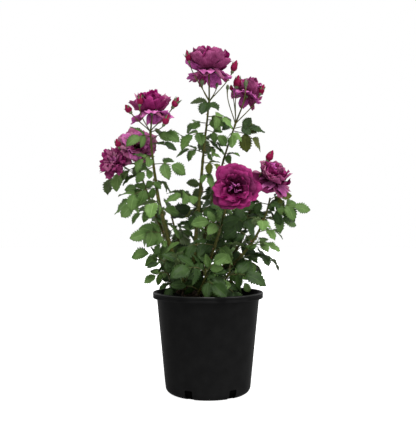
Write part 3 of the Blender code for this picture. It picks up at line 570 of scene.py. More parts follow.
OLD_BARK_LOW = (0.026, 0.016, 0.010)
OLD_BARK_HIGH = (0.135, 0.092, 0.058)
old_bark = mottled_skin("old rose bark", 0.85, OLD_BARK_LOW, OLD_BARK_HIGH, 260.0, 1400.0, 0.7, 0.0012)
union_wood = wood.piece("union_wood", [old_bark], "old_bark", ("trunk",))
deselect()
bpy.ops.mesh.primitive_uv_sphere_add(segments=UNION_SIDES, ring_count=20, radius=1.0, location=UNION_CENTRE,
                                     scale=UNION_SIZE)
burl = bpy.context.object
flare_low = SOIL_LEVEL + GAP
flare_high = UNION_CENTRE.z
deselect()
bpy.ops.mesh.primitive_cone_add(
    vertices=UNION_SIDES, radius1=FLARE_FOOT_RADIUS, radius2=FLARE_TOP_RADIUS, depth=flare_high - flare_low,
    location=(UNION_CENTRE.x, UNION_CENTRE.y, (flare_low + flare_high) / 2))
flare = bpy.context.object
deselect()
for item in (burl, flare, union_wood):
    item.select_set(True)
bpy.context.view_layer.objects.active = union_wood
bpy.ops.object.join()
shaped_by(union_wood, "Grown together", "REMESH", mode="VOXEL", voxel_size=WOOD_GRAIN)
for vert in union_wood.data.vertices:
    place = vert.co
    furrow = FURROW * noise.noise(Vector((place.x * 260, place.y * 260, place.z * 70)))
    grow = furrow + KNOB * noise.noise(place * 85)
    fade = min(1.0, max(0.0, (place.z - flare_low) / SMOOTH_FOOT))
    vert.co = place + vert.normal * grow * fade
union_wood.data.shade_smooth()

# ---------------------------------------------------------------- canes
# Nine tapering rose canes: brown and corky low down, olive green flushed with red
# above, faintly ridged, with a swelling at each leaf scar and hooked prickles.

CANE_SIDES = 14
CANE_SPANS = 46
CANE_WAVE = 0.0016
SCAR_STEP = 0.034
SCAR_SWELL = 0.16
RIDGE = 0.09
BETWEEN_SCARS = 0.94
FORK_SWELL = 1.25
PRICKLE_LENGTH = (0.0034, 0.0062)
PRICKLE_WIDTH = 0.0011
PRICKLE_STEP = 0.0155
WOODY_TO = 0.262

LOW_CANE = (0.030, 0.022, 0.007)
LOW_CANE_PALE = (0.080, 0.062, 0.020)
GREEN_CANE = (0.036, 0.046, 0.007)
GREEN_CANE_PALE = (0.092, 0.086, 0.018)
PRICKLE_RED = (0.150, 0.040, 0.028)
PRICKLE_PALE = (0.26, 0.10, 0.05)
GREEN_GLOSS = 0.16

woody_cane = mottled_skin("corky cane", 0.75, LOW_CANE, LOW_CANE_PALE,
                          240.0, 1500.0, 0.6, 0.0008, gloss=0.10)
green_cane = mottled_skin("green cane", 0.48, GREEN_CANE, GREEN_CANE_PALE,
                          150.0, 1800.0, 0.3, 0.0005, gloss=GREEN_GLOSS)
prickle_skin = mottled_skin("red prickle", 0.4, PRICKLE_RED, PRICKLE_PALE, 400.0, 1500.0, 0.2, 0.0003)


def prickle(root, away, ahead, length, width):
    """A flattened hook: a four-sided spike whose tip leans down the cane."""
    across = away.cross(ahead).normalized()
    tip = root + away * length - ahead * (length * 0.35)
    foot = root - away * 0.0006
    corners = [foot + ahead * width * 1.6, foot + across * width, foot - ahead * width * 1.4,
               foot - across * width, tip]
    return corners, [(0, 1, 4), (1, 2, 4), (2, 3, 4), (3, 0, 4), (3, 2, 1, 0)]


def cane_tube(name, first, last, chance):
    """Points and radii of a cane between two shares, a little wavy, swollen at its scars."""
    points = []
    radii = []
    length = sum((limb_point(name, (i + 1) / 20) - limb_point(name, i / 20)).length for i in range(20))
    phase = chance.uniform(0, 1)
    for i in range(CANE_SPANS + 1):
        share = first + (last - first) * i / CANE_SPANS
        point = limb_point(name, share)
        wave = Vector((noise.noise(point * 22), noise.noise(point * 22 + Vector((7, 3, 1))), 0.0))
        point = point + wave * (CANE_WAVE * math.sin(math.pi * i / CANE_SPANS))
        scar = abs((share * length / SCAR_STEP + phase) % 1.0 - 0.5) * 2
        swell = 1 + SCAR_SWELL * max(0.0, 1 - scar * 5)
        points.append(point)
        radii.append(limb_radius(name, share) * swell * BETWEEN_SCARS)
    return points, radii


cane_bark = Bundle()
prickles = Bundle()
for name, limb in CANES.items():
    chance = random.Random("cane " + name)
    points, radii = cane_tube(name, 0.0, 1.0, chance)
    if name in FORKS:
        parent, share = FORKS[name]
        points[0] = limb_point(parent, share)
        radii[0] = radii[1] = radii[1] * FORK_SWELL
    corners, faces, places = tube(points, radii, CANE_SIDES)
    slots = [1 if sum(corners[i].z for i in face) / len(face) > WOODY_TO else 0 for face in faces]
    for i, corner_place in enumerate(corners):
        ridge = noise.noise(Vector((corner_place.x * 420, corner_place.y * 420, corner_place.z * 55)))
        centre = points[i // CANE_SIDES]
        corners[i] = centre + (corner_place - centre) * (1 + RIDGE * ridge)
    cane_bark.add(corners, faces, places, slots)
    run = 0.0
    goal = chance.uniform(0.3, 1.0) * PRICKLE_STEP
    for i in range(2, len(points) - 1):
        run += (points[i] - points[i - 1]).length
        if run < goal:
            continue
        goal += PRICKLE_STEP * chance.uniform(0.6, 1.7)
        ahead = (points[i + 1] - points[i - 1]).normalized()
        away = ahead.cross(pointing(chance.uniform(0, 360), 0.0)).normalized()
        root = points[i] + away * radii[i] * 0.9
        prickles.add(*prickle(root, away, ahead, chance.uniform(*PRICKLE_LENGTH), PRICKLE_WIDTH))
cane_pieces = ["cane_" + name for name in CANES]
cane_bark.piece("cane_bark", [woody_cane, green_cane], "green_cane", cane_pieces)
cane_prickles = prickles.piece("cane_prickles", [prickle_skin], "green_cane")
cane_prickles.data.shade_flat()

# ---------------------------------------------------------------- leaf plan
# Each cane carries compound leaves of three or five leaflets, set round it at even
# turns, with some in places of their own.  A leaf is left out where it finds no room.

# Compound leaves with a place of their own: the share along the limb, heading, rise, length
# and face, which turns the blade towards the viewer.
SPRAYS = {
    "left": [
        (0.96, 30, 22, 0.092, 40), (0.93, 350, 8, 0.056, 25), (0.80, 350, -4, 0.076, 60),
        (0.85, 235, -14, 0.062, 60), (0.78, 222, -24, 0.054, 50), (0.64, 196, -21, 0.106, 58),
        (0.43, 80, 38, 0.085, 0), (0.31, 222, 8, 0.090, 70)],
    "left_rear": [
        (0.45, 210, -10, 0.058, 45), (0.60, 200, 14, 0.050, 40), (0.93, 202, -17, 0.112, 30)],
    "centre": [
        (0.25, 172, 50, 0.070, 30), (0.31, 330, 45, 0.082, 30), (0.38, 145, 45, 0.080, 20),
        (0.58, 305, -25, 0.050, 45), (0.64, 320, -8, 0.064, 50), (0.70, 200, 12, 0.062, 50),
        (0.74, 30, 5, 0.056, 40), (0.82, 222, -12, 0.072, 55), (0.84, 350, -26, 0.056, 50),
        (0.88, 160, 0, 0.060, 45), (0.92, 340, -8, 0.064, 50), (0.985, 262, 2, 0.076, 66)],
    "right_rear": [
        (0.78, 300, 24, 0.056, 45), (0.97, 354, -22, 0.0889, 80), (0.95, 268, -12, 0.062, 60),
        (0.985, 4, 0, 0.066, 60), (0.98, 215, 22, 0.056, 60)],
    "right": [
        (0.98, 338, 22, 0.048, 55), (0.94, 200, 2, 0.060, 60), (0.91, 285, 22, 0.052, 60),
        (0.90, 350, 6, 0.0892, 65), (0.88, 335, -12, 0.068, 65), (0.80, 12, 4, 0.080, 45),
        (0.74, 268, 18, 0.066, 45), (0.66, 8, 7, 0.062, 40), (0.56, 4, -4, 0.062, 35),
        (0.46, 346, 12, 0.096, 10), (0.38, 12, 3, 0.098, 6), (0.37, 288, -4, 0.075, 45)],
    "front": [
        (0.62, 285, 36, 0.076, 65), (0.36, 8, 32, 0.078, 20)],
    "basal_left": [
        (0.95, 182, 28, 0.074, 35), (0.65, 215, -10, 0.058, 60), (0.40, 240, -20, 0.056, 70)],
    "basal_front": [
        (0.90, 196, 4, 0.094, 70), (0.55, 300, -18, 0.078, 60), (0.32, 338, 14, 0.066, 70),
        (0.18, 202, 20, 0.062, 70)],
    "basal_front_right": [
        (0.85, 362, -3, 0.084, 60), (0.45, 280, -25, 0.070, 60)],
}

# How many more leaves the rule sets on each limb's masses, and the first one's heading.
FILL = {
    "left": ((2, 100), (1, 120)),
    "left_rear": ((2, 60),),
    "centre": ((2, 60), (1, 330), (1, 90)),
    "front": ((2, 200),),
    "right_rear": ((4, 30), (0, 150)),
    "right": ((2, 60), (1, 120)),
    "right_inner": ((4, 40),),
    "rear_left": ((2, 100), (4, 60)),
    "rear_right": ((2, 40), (4, 100)),
    "basal_left": ((2, 250),),
    "basal_left_rear": ((4, 160),),
    "basal_front_left": ((5, 200),),
    "basal_front": ((1, 230),),
    "basal_front_right": ((3, 300),),
    "basal_right": ((5, 20),),
    "basal_right_rear": ((4, 60),),
    "basal_rear": ((5, 90),),
}

GOLDEN_STEP = 144
NODE_JITTER = 16
FILL_LENGTH = (0.074, 0.104)
FILL_RISE = (-14, 32)
FILL_FACE = (12, 78)
FILL_LEAN = 34
BASAL_RISE = (34, 70)
BASAL_LENGTH = (0.056, 0.086)
LEAFLET_WIDTH = 0.70
SMALL_LEAF = 0.089
ARCH = 42
PAIR_ANGLE = 60
PAIR_SPREAD = 12
TERMINAL_DROOP = math.radians(24)
PAIR_DROOP = math.radians(18)
BLADE_ROLL = 34
BLADE_VARIES = (0.92, 1.08)
SHORT_OF_BEND = 0.0018
LEAVES_REACH = 0.3
LIMIT_SIDES = 32
LIMIT_SPANS = 12
CLEAR = 0.0004

LeafPlan = namedtuple("LeafPlan", "stalk end pairs")
THREE = LeafPlan(0.52, 0.52, ((0.62, 0.84),))
FIVE = LeafPlan(0.62, 0.42, ((0.42, 0.78), (0.76, 0.94)))
TRIES = ((0, 0), (14, 4), (-14, 4), (26, -8), (-26, -8), (0, 18), (40, 8), (-40, 8),
         (20, 32), (-20, 32), (60, 20), (-60, 20))

# Side leaves on stretches that would look thin without them: limb, share, heading, rise,
# length, face and tone.
SIDE_LEAVES = [
    ("centre", 0.90, 330, -14, 0.038, 60, "mid"),
    ("centre", 0.86, 20, 22, 0.056, 55, "fresh"),
    ("right_rear", 0.86, 214, 48, 0.034, 45, "mid"),
    ("centre", 0.68, 349, 6, 0.040, 60, "mid"),
    ("left", 0.98, 236, -4, 0.070, 75, "mid"),
    ("left", 0.72, 228, -76, 0.050, 70, "mid"),
    ("left", 0.30, 198, -40, 0.046, 50, "mid"),
    ("left_rear", 0.62, 171, -28, 0.081, 66, "fresh"),
    ("right", 0.35, 8, -7, 0.090, 30, "mid"),
    ("right_inner", 0.90, 19, -17, 0.034, 40, "mid"),
    ("basal_left", 0.80, 175, 3, 0.052, 50, "deep"),
    ("basal_right", 0.80, 313, -29, 0.045, 60, "fresh"),
]

# Smaller leaves between the first ones: how many more on each mass, and their lengths.
MORE_LEAVES = {
    "left": (1, 1), "left_rear": (2,), "centre": (2, 1, 1), "front": (2,), "right_rear": (4, 2),
    "right": (5, 3), "right_inner": (3,), "rear_left": (5, 3), "rear_right": (5, 3),
    "basal_left": (7,), "basal_left_rear": (10,), "basal_front_left": (10,), "basal_front": (11,),
    "basal_front_right": (11,), "basal_right": (10,), "basal_right_rear": (10,), "basal_rear": (10,),
}
MORE_LENGTH = (0.044, 0.080)
# Painted shade: leaves rooted low inside the bush, under the first of these heights and near the middle,
# mostly take the dark green tone.
SHADE_BELOW = 0.39
LIGHTENED_BELOW = 0.345
SHADE_WITHIN = 0.085

# A draw between 0 and 1 takes the first tone whose limit is above it.
SHADED_INSIDE_TONES = ((0.70, "deep"), (0.89, "mid"), (1.0, "fresh"))
# Painted light: below the second height, outer leaves take a larger share of the fresh green, lightening the
# low leaves that the leaves above shade.
LOW_LIGHTENED_TONES = ((0.38, "fresh"), (0.72, "mid"), (0.80, "olive"), (1.0, "deep"))
HIGH_TONES = ((0.22, "fresh"), (0.72, "mid"), (0.80, "olive"), (1.0, "deep"))

Blade = namedtuple("Blade", "base along normal length width")
Leaf = namedtuple("Leaf", "rachis blades tone")


def compound_leaf(root, heading, rise, length, face, lean, seed, tone):
    """A rose leaf: an arched stalk with a leaflet at its tip and one or two pairs along it."""
    chance = random.Random(seed)
    plan = THREE if length < SMALL_LEAF else FIVE
    places = [0.0] + [place for place, share in plan.pairs] + [1.0]
    rachis = [root]
    for early, late in zip(places, places[1:]):
        bow = ARCH * (0.5 - (early + late) / 2)
        rachis.append(rachis[-1] + pointing(heading, rise + bow) * (length * plan.stalk * (late - early)))
    tilt = math.radians(face)
    slant = math.radians(lean)
    hint = Vector((math.sin(slant), -math.sin(tilt), math.cos(tilt) * math.cos(slant)))
    blades = []
    end = (rachis[-1] - rachis[-2]).normalized()
    normal = (hint - end * hint.dot(end)).normalized()
    droop = TERMINAL_DROOP * chance.uniform(0.5, 1.5)
    along = end * math.cos(droop) - normal * math.sin(droop)
    size = length * plan.end
    blades.append(make_blade(rachis[-1], along, normal, size, chance))
    for i, (place, share) in enumerate(plan.pairs, 1):
        base = rachis[i] - (rachis[i] - rachis[i - 1]).normalized() * SHORT_OF_BEND
        ahead = (rachis[i + 1] - rachis[i - 1]).normalized()
        up = (hint - ahead * hint.dot(ahead)).normalized()
        side = ahead.cross(up)
        for sign in (1, -1):
            turn = math.radians(PAIR_ANGLE + chance.uniform(-PAIR_SPREAD, PAIR_SPREAD))
            droop = PAIR_DROOP * chance.uniform(0.0, 2.2)
            out = ahead * math.cos(turn) + side * (sign * math.sin(turn))
            along = out * math.cos(droop) - up * math.sin(droop)
            blades.append(make_blade(base, along, up, size * share, chance))
    return Leaf(rachis, blades, tone)


def make_blade(base, along, up, size, chance):
    """One leaflet's place and size, rolled a little about its own length."""
    along = along.normalized()
    roll = Matrix.Rotation(math.radians(chance.uniform(-BLADE_ROLL, BLADE_ROLL)), 3, along)
    normal = roll @ (up - along * up.dot(along)).normalized()
    length = size * chance.uniform(*BLADE_VARIES)
    width = length * LEAFLET_WIDTH * chance.uniform(*BLADE_VARIES)
    return Blade(base, along, normal, length, width)


def stretches(name):
    """Share of the limb where each of its leafy stretches starts and ends."""
    limb = LIMBS[name]
    step = (1 - limb.bare) / len(limb.masses)
    return [(limb.bare + step * i, limb.bare + step * (i + 1)) for i in range(len(limb.masses))]


def planned_leaves(name, number, first, last):
    """Leaves wanted on one stretch: its own, then those at even steps."""
    wanted = [(*spray, 0) for spray in SPRAYS.get(name, ()) if first <= spray[0] < last + 0.001]
    count, heading = FILL[name][number]
    chance = random.Random(f"{name} {number}")
    for i in range(count):
        share = first + (last - first) * (i + 0.55) / count
        turned = (heading + GOLDEN_STEP * i + chance.uniform(-NODE_JITTER, NODE_JITTER)) % 360
        low, high = BASAL_RISE if name in BASAL else FILL_RISE
        rise = chance.uniform(low, high)
        length = chance.uniform(*(BASAL_LENGTH if name in BASAL else FILL_LENGTH))
        face = chance.uniform(*FILL_FACE)
        lean = chance.uniform(-FILL_LEAN, FILL_LEAN)
        wanted.append((share, turned, rise, length, face, lean))
    return wanted


def more_leaves(name, number, first, last):
    """Finer growth between the planned leaves of a stretch."""
    chance = random.Random(f"more {name} {number}")
    count = MORE_LEAVES[name][number]
    for i in range(count):
        share = first + (last - first) * (i + 0.2) / count
        turned = (70 + GOLDEN_STEP * i + chance.uniform(-30, 30)) % 360
        low, high = BASAL_RISE if name in BASAL else FILL_RISE
        yield (share, turned, chance.uniform(low - 14, high), chance.uniform(*MORE_LENGTH),
               chance.uniform(*FILL_FACE), chance.uniform(-FILL_LEAN, FILL_LEAN))


def leaf_body(leaf, clear=0.0):
    """Flat corners and faces of a leaf, to test what it would touch."""
    corners = []
    faces = []
    for blade in leaf.blades:
        across = blade.normal.cross(blade.along) * (blade.width * 0.55 + clear)
        widest = blade.base + blade.along * (blade.length * 0.45)
        base = len(corners)
        corners += [blade.base, widest + across, blade.base + blade.along * (blade.length + clear),
                    widest - across]
        faces.append((base, base + 1, base + 2, base + 3))
    stalk_corners, stalk_faces, _ = tube(leaf.rachis, [0.0012 + clear] * len(leaf.rachis), 3, False)
    base = len(corners)
    faces += [tuple(base + i for i in face) for face in stalk_faces]
    return corners + stalk_corners, faces


def pot_limits():
    """Soil, inner wall, rim and the level of the rim outside it: no leaf hangs past them."""
    rings = [(0.0002, SOIL_LEVEL), (wall_radius(SOIL_LEVEL) - WALL, SOIL_LEVEL),
             (wall_radius(POT_HEIGHT) - WALL, POT_HEIGHT), (RIM_RADIUS, POT_HEIGHT),
             (LEAVES_REACH, POT_HEIGHT)]
    turns = [math.tau * k / LIMIT_SIDES for k in range(LIMIT_SIDES)]
    corners = [Vector((r * math.cos(turn), r * math.sin(turn), z)) for r, z in rings for turn in turns]
    return BVHTree.FromPolygons(corners, ring_faces(len(rings), LIMIT_SIDES, False))


def limb_tree(name):
    """A limb as a plain round body, to test leaves against."""
    shares = [i / LIMIT_SPANS for i in range(LIMIT_SPANS + 1)]
    corners, faces, _ = tube([limb_point(name, share) for share in shares],
                             [limb_radius(name, share) for share in shares], 8, False)
    return BVHTree.FromPolygons(corners, faces)


def tone_for(root, chance):
    """Dark green deep inside the bush and low down, as painted shade; more fresh green on low outer leaves,
    as painted light, and on some tips; the rest between.
    """
    tones = LOW_LIGHTENED_TONES if root.z < LIGHTENED_BELOW else HIGH_TONES
    if root.z < SHADE_BELOW and math.hypot(root.x, root.y) < SHADE_WITHIN:
        tones = SHADED_INSIDE_TONES
    draw = chance.random()
    return next(tone for limit, tone in tones if draw < limit)


def grow_leaves():
    """Every leaf that finds room, clear of other limbs and of the leaves before it."""
    barriers = {name: limb_tree(name) for name in LIMBS}
    barriers["pot"] = pot_limits()
    kept = []
    grown = []

    def try_leaf(name, root, wanted, seed, tone):
        _, heading, rise, length, face, lean = wanted
        for turn, lift in TRIES:
            leaf = compound_leaf(root, heading + turn, rise + lift, length, face, lean, seed, tone)
            test = BVHTree.FromPolygons(*leaf_body(leaf, CLEAR))
            others = [tree for key, tree in barriers.items() if key != name]
            if not any(test.overlap(tree) for tree in others + grown):
                kept.append(leaf)
                grown.append(BVHTree.FromPolygons(*leaf_body(leaf)))
                return

    leafy = [(name, number, first, last) for name in LIMBS
             for number, (first, last) in enumerate(stretches(name))]
    for name, number, first, last in leafy:
        for i, wanted in enumerate(planned_leaves(name, number, first, last)):
            root = limb_point(name, min(max(wanted[0], first + 0.02), last - 0.01))
            seed = f"{name} {number} {i}"
            try_leaf(name, root, wanted, seed, tone_for(root, random.Random("tone " + seed)))
    for i, (name, *wanted, tone) in enumerate(SIDE_LEAVES):
        try_leaf(name, limb_point(name, wanted[0]), (*wanted, 0), f"side {i}", tone)
    for name, number, first, last in leafy:
        for i, wanted in enumerate(more_leaves(name, number, first, last)):
            root = limb_point(name, wanted[0])
            seed = f"more {name} {number} {i}"
            try_leaf(name, root, wanted, seed, tone_for(root, random.Random(seed)))
    return kept


# ---------------------------------------------------------------- leaves
# Toothed oval leaflets, a little folded along the midrib and drooping at the tip,
# with a thin stalk, small wings at its foot, and a paler, duller underside.

BLADE_ROWS = 8
BLADE_THICK = 0.00026
TOOTH_AT = 0.72
TOOTH = 0.19

LEAF_STALK_RADIUS = (0.00115, 0.00050)
WING_THICK = 0.0003

# How wide the leaflet is along its length, from base to tip.
OUTLINE = (0.05, 0.56, 0.86, 0.99, 1.0, 0.92, 0.75, 0.48, 0.02)

# Corners of the small wing at a leaf's foot: how far along the stalk and how far out.
WING = ((0.0015, 0.0), (0.0090, 0.0), (0.0120, 0.0030), (0.0060, 0.0024))
WING_FACES = [(0, 1, 2, 3), (7, 6, 5, 4), (0, 4, 5, 1), (1, 5, 6, 2), (2, 6, 7, 3), (3, 7, 4, 0)]

Colours = namedtuple("Colours", "low high")
# The deep tone is partly a darker green of the leaves and partly painted shade inside the bush; the fresh
# tone is partly new growth and partly painted light on the low outer leaves.
GREENS = {
    "fresh": Colours((0.108, 0.210, 0.044), (0.174, 0.290, 0.084)),
    "mid": Colours((0.054, 0.116, 0.021), (0.108, 0.190, 0.048)),
    "deep": Colours((0.012, 0.032, 0.005), (0.032, 0.068, 0.013)),
    "olive": Colours((0.066, 0.090, 0.008), (0.106, 0.130, 0.018)),
}
UNDERSIDE = Colours((0.070, 0.108, 0.034), (0.100, 0.144, 0.052))


def vein_group():
    """Midrib and side veins from the leaflet's own map: a line mask and a height."""
    tree = bpy.data.node_groups.new("leaf veins", "ShaderNodeTree")
    pairs = tree.interface.new_socket("Pairs", in_out="INPUT", socket_type="NodeSocketFloat")
    pairs.default_value = 7.0
    tree.interface.new_socket("Line", in_out="OUTPUT", socket_type="NodeSocketFloat")
    tree.interface.new_socket("Height", in_out="OUTPUT", socket_type="NodeSocketFloat")
    enter = tree.nodes.new("NodeGroupInput")
    leave = tree.nodes.new("NodeGroupOutput")
    place = tree.nodes.new("ShaderNodeUVMap")
    place.uv_map = "across and along"
    split = node(tree, "ShaderNodeSeparateXYZ", Vector=place.outputs["UV"])

    def worked(kind, *values):
        made = node(tree, "ShaderNodeMath", **{f"_{i}": value for i, value in enumerate(values)})
        made.operation = kind
        return made.outputs[0]

    side = worked("ABSOLUTE", worked("SUBTRACT", split.outputs["X"], 0.5))
    slant = worked("SUBTRACT", split.outputs["Y"], worked("MULTIPLY", side, 0.62))
    ribs_passed = worked("MULTIPLY", slant, enter.outputs["Pairs"])
    wave = worked("SINE", worked("MULTIPLY", ribs_passed, math.tau))
    groove = worked("POWER", worked("ABSOLUTE", wave), 0.5)
    rib = worked("SUBTRACT", 1.0, worked("MULTIPLY", side, 26.0))
    line = worked("MAXIMUM", rib, 0.0)
    height = worked("SUBTRACT", groove, line)
    tree.links.new(line, leave.inputs["Line"])
    tree.links.new(height, leave.inputs["Height"])
    return tree


veins = vein_group()


def leaf_skin(name, colours, roughness, rib_colour, relief):
    """Leaf surface: two greens mottled together, a paler midrib, and quilted veins."""
    material, shader = shader_of(name, colours.low, roughness, gloss=0.22)
    tree = material.node_tree
    blotch = mottled(material, shader, colours.low, colours.high, 42.0, 600.0, 0.10, 0.0003)
    group = tree.nodes.new("ShaderNodeGroup")
    group.node_tree = veins
    mix = tree.nodes.new("ShaderNodeMix")
    mix.data_type = "RGBA"
    tree.links.new(group.outputs["Line"], mix.inputs[0])
    tree.links.new(blotch, mix.inputs[6])
    mix.inputs[7].default_value = (*rib_colour, 1.0)
    tree.links.new(mix.outputs[2], shader.inputs["Base Color"])
    bump = node(tree, "ShaderNodeBump", Strength=relief, Distance=0.0006, Height=group.outputs["Height"])
    tree.links.new(bump.outputs["Normal"], shader.inputs["Normal"])
    return material


leaf_back = leaf_skin("leaf underside", UNDERSIDE, 0.62, (0.15, 0.18, 0.10), 0.60)
leaf_faces = {tone: leaf_skin("leaf " + tone, colours, 0.44,
                              tuple(1.35 * value for value in colours.high), 0.65)
              for tone, colours in GREENS.items()}


def leaflet(blade, chance):
    """One blade's corners, faces and map: rows from base to tip with a toothed edge."""
    across = blade.normal.cross(blade.along)
    fold = chance.uniform(0.06, 0.52)
    sag = chance.uniform(0.02, 0.34)
    curl = chance.uniform(-0.24, 0.26)
    wave = chance.uniform(0.015, 0.060)
    phase = chance.uniform(0, math.tau)
    lean = chance.uniform(-0.08, 0.08)
    twist = chance.uniform(-0.5, 0.5)

    def point(u, v, wide):
        x = v * wide * blade.width / 2
        bend = -sag * u * u + curl * u * u * u * 0.5
        lift = abs(v) * wide * (blade.width / 2) * fold * (1 - 0.35 * u) + x * twist * u
        ripple = wave * blade.width * abs(v) * math.sin(u * 15 + phase + (2.2 if v > 0 else 0.0))
        return (blade.base + blade.along * (u * blade.length * (1 - 0.06 * sag))
                + across * (x + lean * blade.length * math.sin(math.pi * u))
                + blade.normal * (bend * blade.length + lift + ripple))

    corners = []
    places = []
    rows = []
    for i in range(BLADE_ROWS + 1):
        u = i / BLADE_ROWS
        wide = OUTLINE[i]
        row = []
        for v in (-1.0, -0.5, 0.0, 0.5, 1.0):
            row.append(len(corners))
            corners.append(point(u, v, wide * (1 - TOOTH if abs(v) == 1 and 0 < i < BLADE_ROWS else 1)))
            places.append((0.5 + 0.5 * v, u))
        rows.append(row)
    faces = []
    for i in range(BLADE_ROWS):
        low, high = rows[i], rows[i + 1]
        u = (i + TOOTH_AT) / BLADE_ROWS
        wide = OUTLINE[i] * (1 - TOOTH_AT) + OUTLINE[i + 1] * TOOTH_AT
        for v in (-1.0, 1.0):
            tooth = len(corners)
            corners.append(point(u, v, wide * (1 + TOOTH * 0.6)))
            places.append((0.5 + 0.5 * v, u))
            if v < 0:
                faces.append((tooth, high[1], low[1], low[0]))
                faces.append((high[0], high[1], tooth))
            else:
                faces.append((high[3], tooth, low[4], low[3]))
                faces.append((high[3], high[4], tooth))
        faces.append((high[1], high[2], low[2], low[1]))
        faces.append((high[2], high[3], low[3], low[2]))
    return corners, faces, places


def thickened(item, thick, back_slot):
    """Give a sheet its real thickness inwards, its back wearing the second skin."""
    shaped_by(item, "Thickness", "SOLIDIFY", thickness=thick, offset=-1.0, use_even_offset=False,
              material_offset=back_slot, material_offset_rim=0)


leaves = grow_leaves()
leaf_bundles = {tone: Bundle() for tone in GREENS}
stalks = Bundle()
for number, leaf in enumerate(leaves):
    chance = random.Random(f"leaf {number}")
    for blade in leaf.blades:
        leaf_bundles[leaf.tone].add(*leaflet(blade, chance))
    path = smoothed(leaf.rachis)
    low, high = LEAF_STALK_RADIUS
    stalks.add(*tube(path, [low + (high - low) * i / (len(path) - 1) for i in range(len(path))], 6))
    root = leaf.rachis[0]
    ahead = (leaf.rachis[1] - root).normalized()
    up = (Vector((0, 0, 1)) - ahead * ahead.z).normalized()
    side = ahead.cross(up)
    for sign in (1, -1):
        corners = [root + ahead * forth + side * (sign * out) for forth, out in WING]
        corners += [corner_place - up * WING_THICK for corner_place in corners]
        stalks.add(corners, [face[::-1] for face in WING_FACES] if sign > 0 else WING_FACES)

masses = ["leaves_%s_%s" % (name, mass) for name, limb in LIMBS.items() for mass in limb.masses]
for tone, bundle in leaf_bundles.items():
    item = bundle.piece("leaves_" + tone, [leaf_faces[tone], leaf_back], "leaf",
                        masses if tone == "mid" else ())
    thickened(item, BLADE_THICK, 1)
leaf_stalk = mottled_skin("leaf stalk", 0.5, (0.050, 0.076, 0.020), (0.110, 0.092, 0.036),
                          55.0, 900.0, 0.1, 0.0003, gloss=GREEN_GLOSS)
stalks.piece("leaf_stalks", [leaf_stalk], "leaf")

basal_wood = Bundle()
for name, limb in BASAL.items():
    chance = random.Random("basal " + name)
    points, radii = cane_tube(name, 0.0, 1.0, chance)
    basal_wood.add(*tube(points, radii, 10))
basal_wood.piece("basal_shoots", [green_cane], "green_cane")

# ---------------------------------------------------------------- flower stalks
# Each flowering cane ends in a fork of thin green stalks, one to each rose or bud,
# flushed with red, finely bristled, with a small swelling under the flower.

Bloom = namedtuple("Bloom", "limb base heading rise")

# Each rose: the limb it grows from, where its stalk ends and the way it faces.
BLOOMS = [Bloom(*row) for row in (
    ("centre", (0.002, 0.000, 0.670), 90, 84),
    ("left", (-0.115, -0.034, 0.577), 120, 82),
    ("right_rear", (0.083, 0.045, 0.628), 50, 60),
    ("right_inner", (0.132, -0.004, 0.443), 305, 52),
    ("left_rear", (-0.196, 0.030, 0.481), 245, 20),
    ("left_rear", (-0.152, 0.034, 0.513), 280, 36),
    ("front", (0.052, -0.092, 0.416), 268, 14),
)]

Bud = namedtuple("Bud", "limb base heading rise length girth")

BUDS = [Bud(*row) for row in (
    ("centre", (-0.039, -0.012, 0.688), 180, 78, 0.026, 0.0062),
    ("centre", (0.051, 0.010, 0.672), 0, 69, 0.027, 0.0078),
    ("centre", (-0.012, -0.022, 0.638), 90, 88, 0.014, 0.0046),
    ("centre", (0.018, 0.012, 0.640), 30, 78, 0.012, 0.0034),
    ("right_rear", (0.041, 0.012, 0.634), 0, 85, 0.013, 0.0038),
    ("right_rear", (0.061, 0.028, 0.643), 0, 80, 0.027, 0.0094),
    ("right_rear", (0.052, 0.040, 0.639), 180, 78, 0.013, 0.0048),
    ("right_rear", (0.080, 0.014, 0.640), 0, 89, 0.020, 0.0044),
    ("right_rear", (0.112, 0.034, 0.630), 0, 68, 0.023, 0.0066),
    ("left", (-0.137, -0.066, 0.588), 0, 84, 0.024, 0.0066),
    ("left", (-0.156, -0.050, 0.576), 180, 55, 0.020, 0.0076),
    ("left", (-0.073, -0.030, 0.590), 0, 60, 0.025, 0.0078),
    ("left", (-0.090, -0.056, 0.550), 0, 62, 0.024, 0.0072),
    ("left_rear", (-0.188, 0.010, 0.512), 180, 72, 0.020, 0.0070),
    ("right_inner", (0.122, -0.022, 0.480), 0, 62, 0.026, 0.0084),
)]

FLOWERS = BLOOMS + BUDS
STALK_STARTS = (0.45, 0.80)
STALK_START_STEP = 0.382
STALK_RADIUS = (0.00190, 0.00145)
BUD_STALK_RADIUS = (0.00125, 0.00095)
STALK_SPANS = 14
BRISTLE_LENGTH = 0.0011
BRISTLE_WIDTH = 0.00022
FORK_LENGTH = 0.0064


def stalk_path(flower, spans):
    """A flower stalk: it leaves along the cane and comes in along the flower's axis."""
    limb = flower.limb
    axis = pointing(flower.heading, flower.rise)
    end = Vector(flower.base)
    least, most = STALK_STARTS
    depth = least + (most - least) * (FLOWERS.index(flower) * STALK_START_STEP % 1.0)
    start = limb_point(limb, 1.0) + limb_along(limb, 1.0) * (LEAD * depth)
    reach = (end - start).length
    early = start + limb_along(limb, 1.0) * (reach * 0.12)
    late = end - axis * (reach * 0.35)
    return [start * (1 - t) ** 3 + early * 3 * t * (1 - t) ** 2 + late * 3 * t ** 2 * (1 - t) + end * t ** 3
            for t in (i / spans for i in range(spans + 1))]


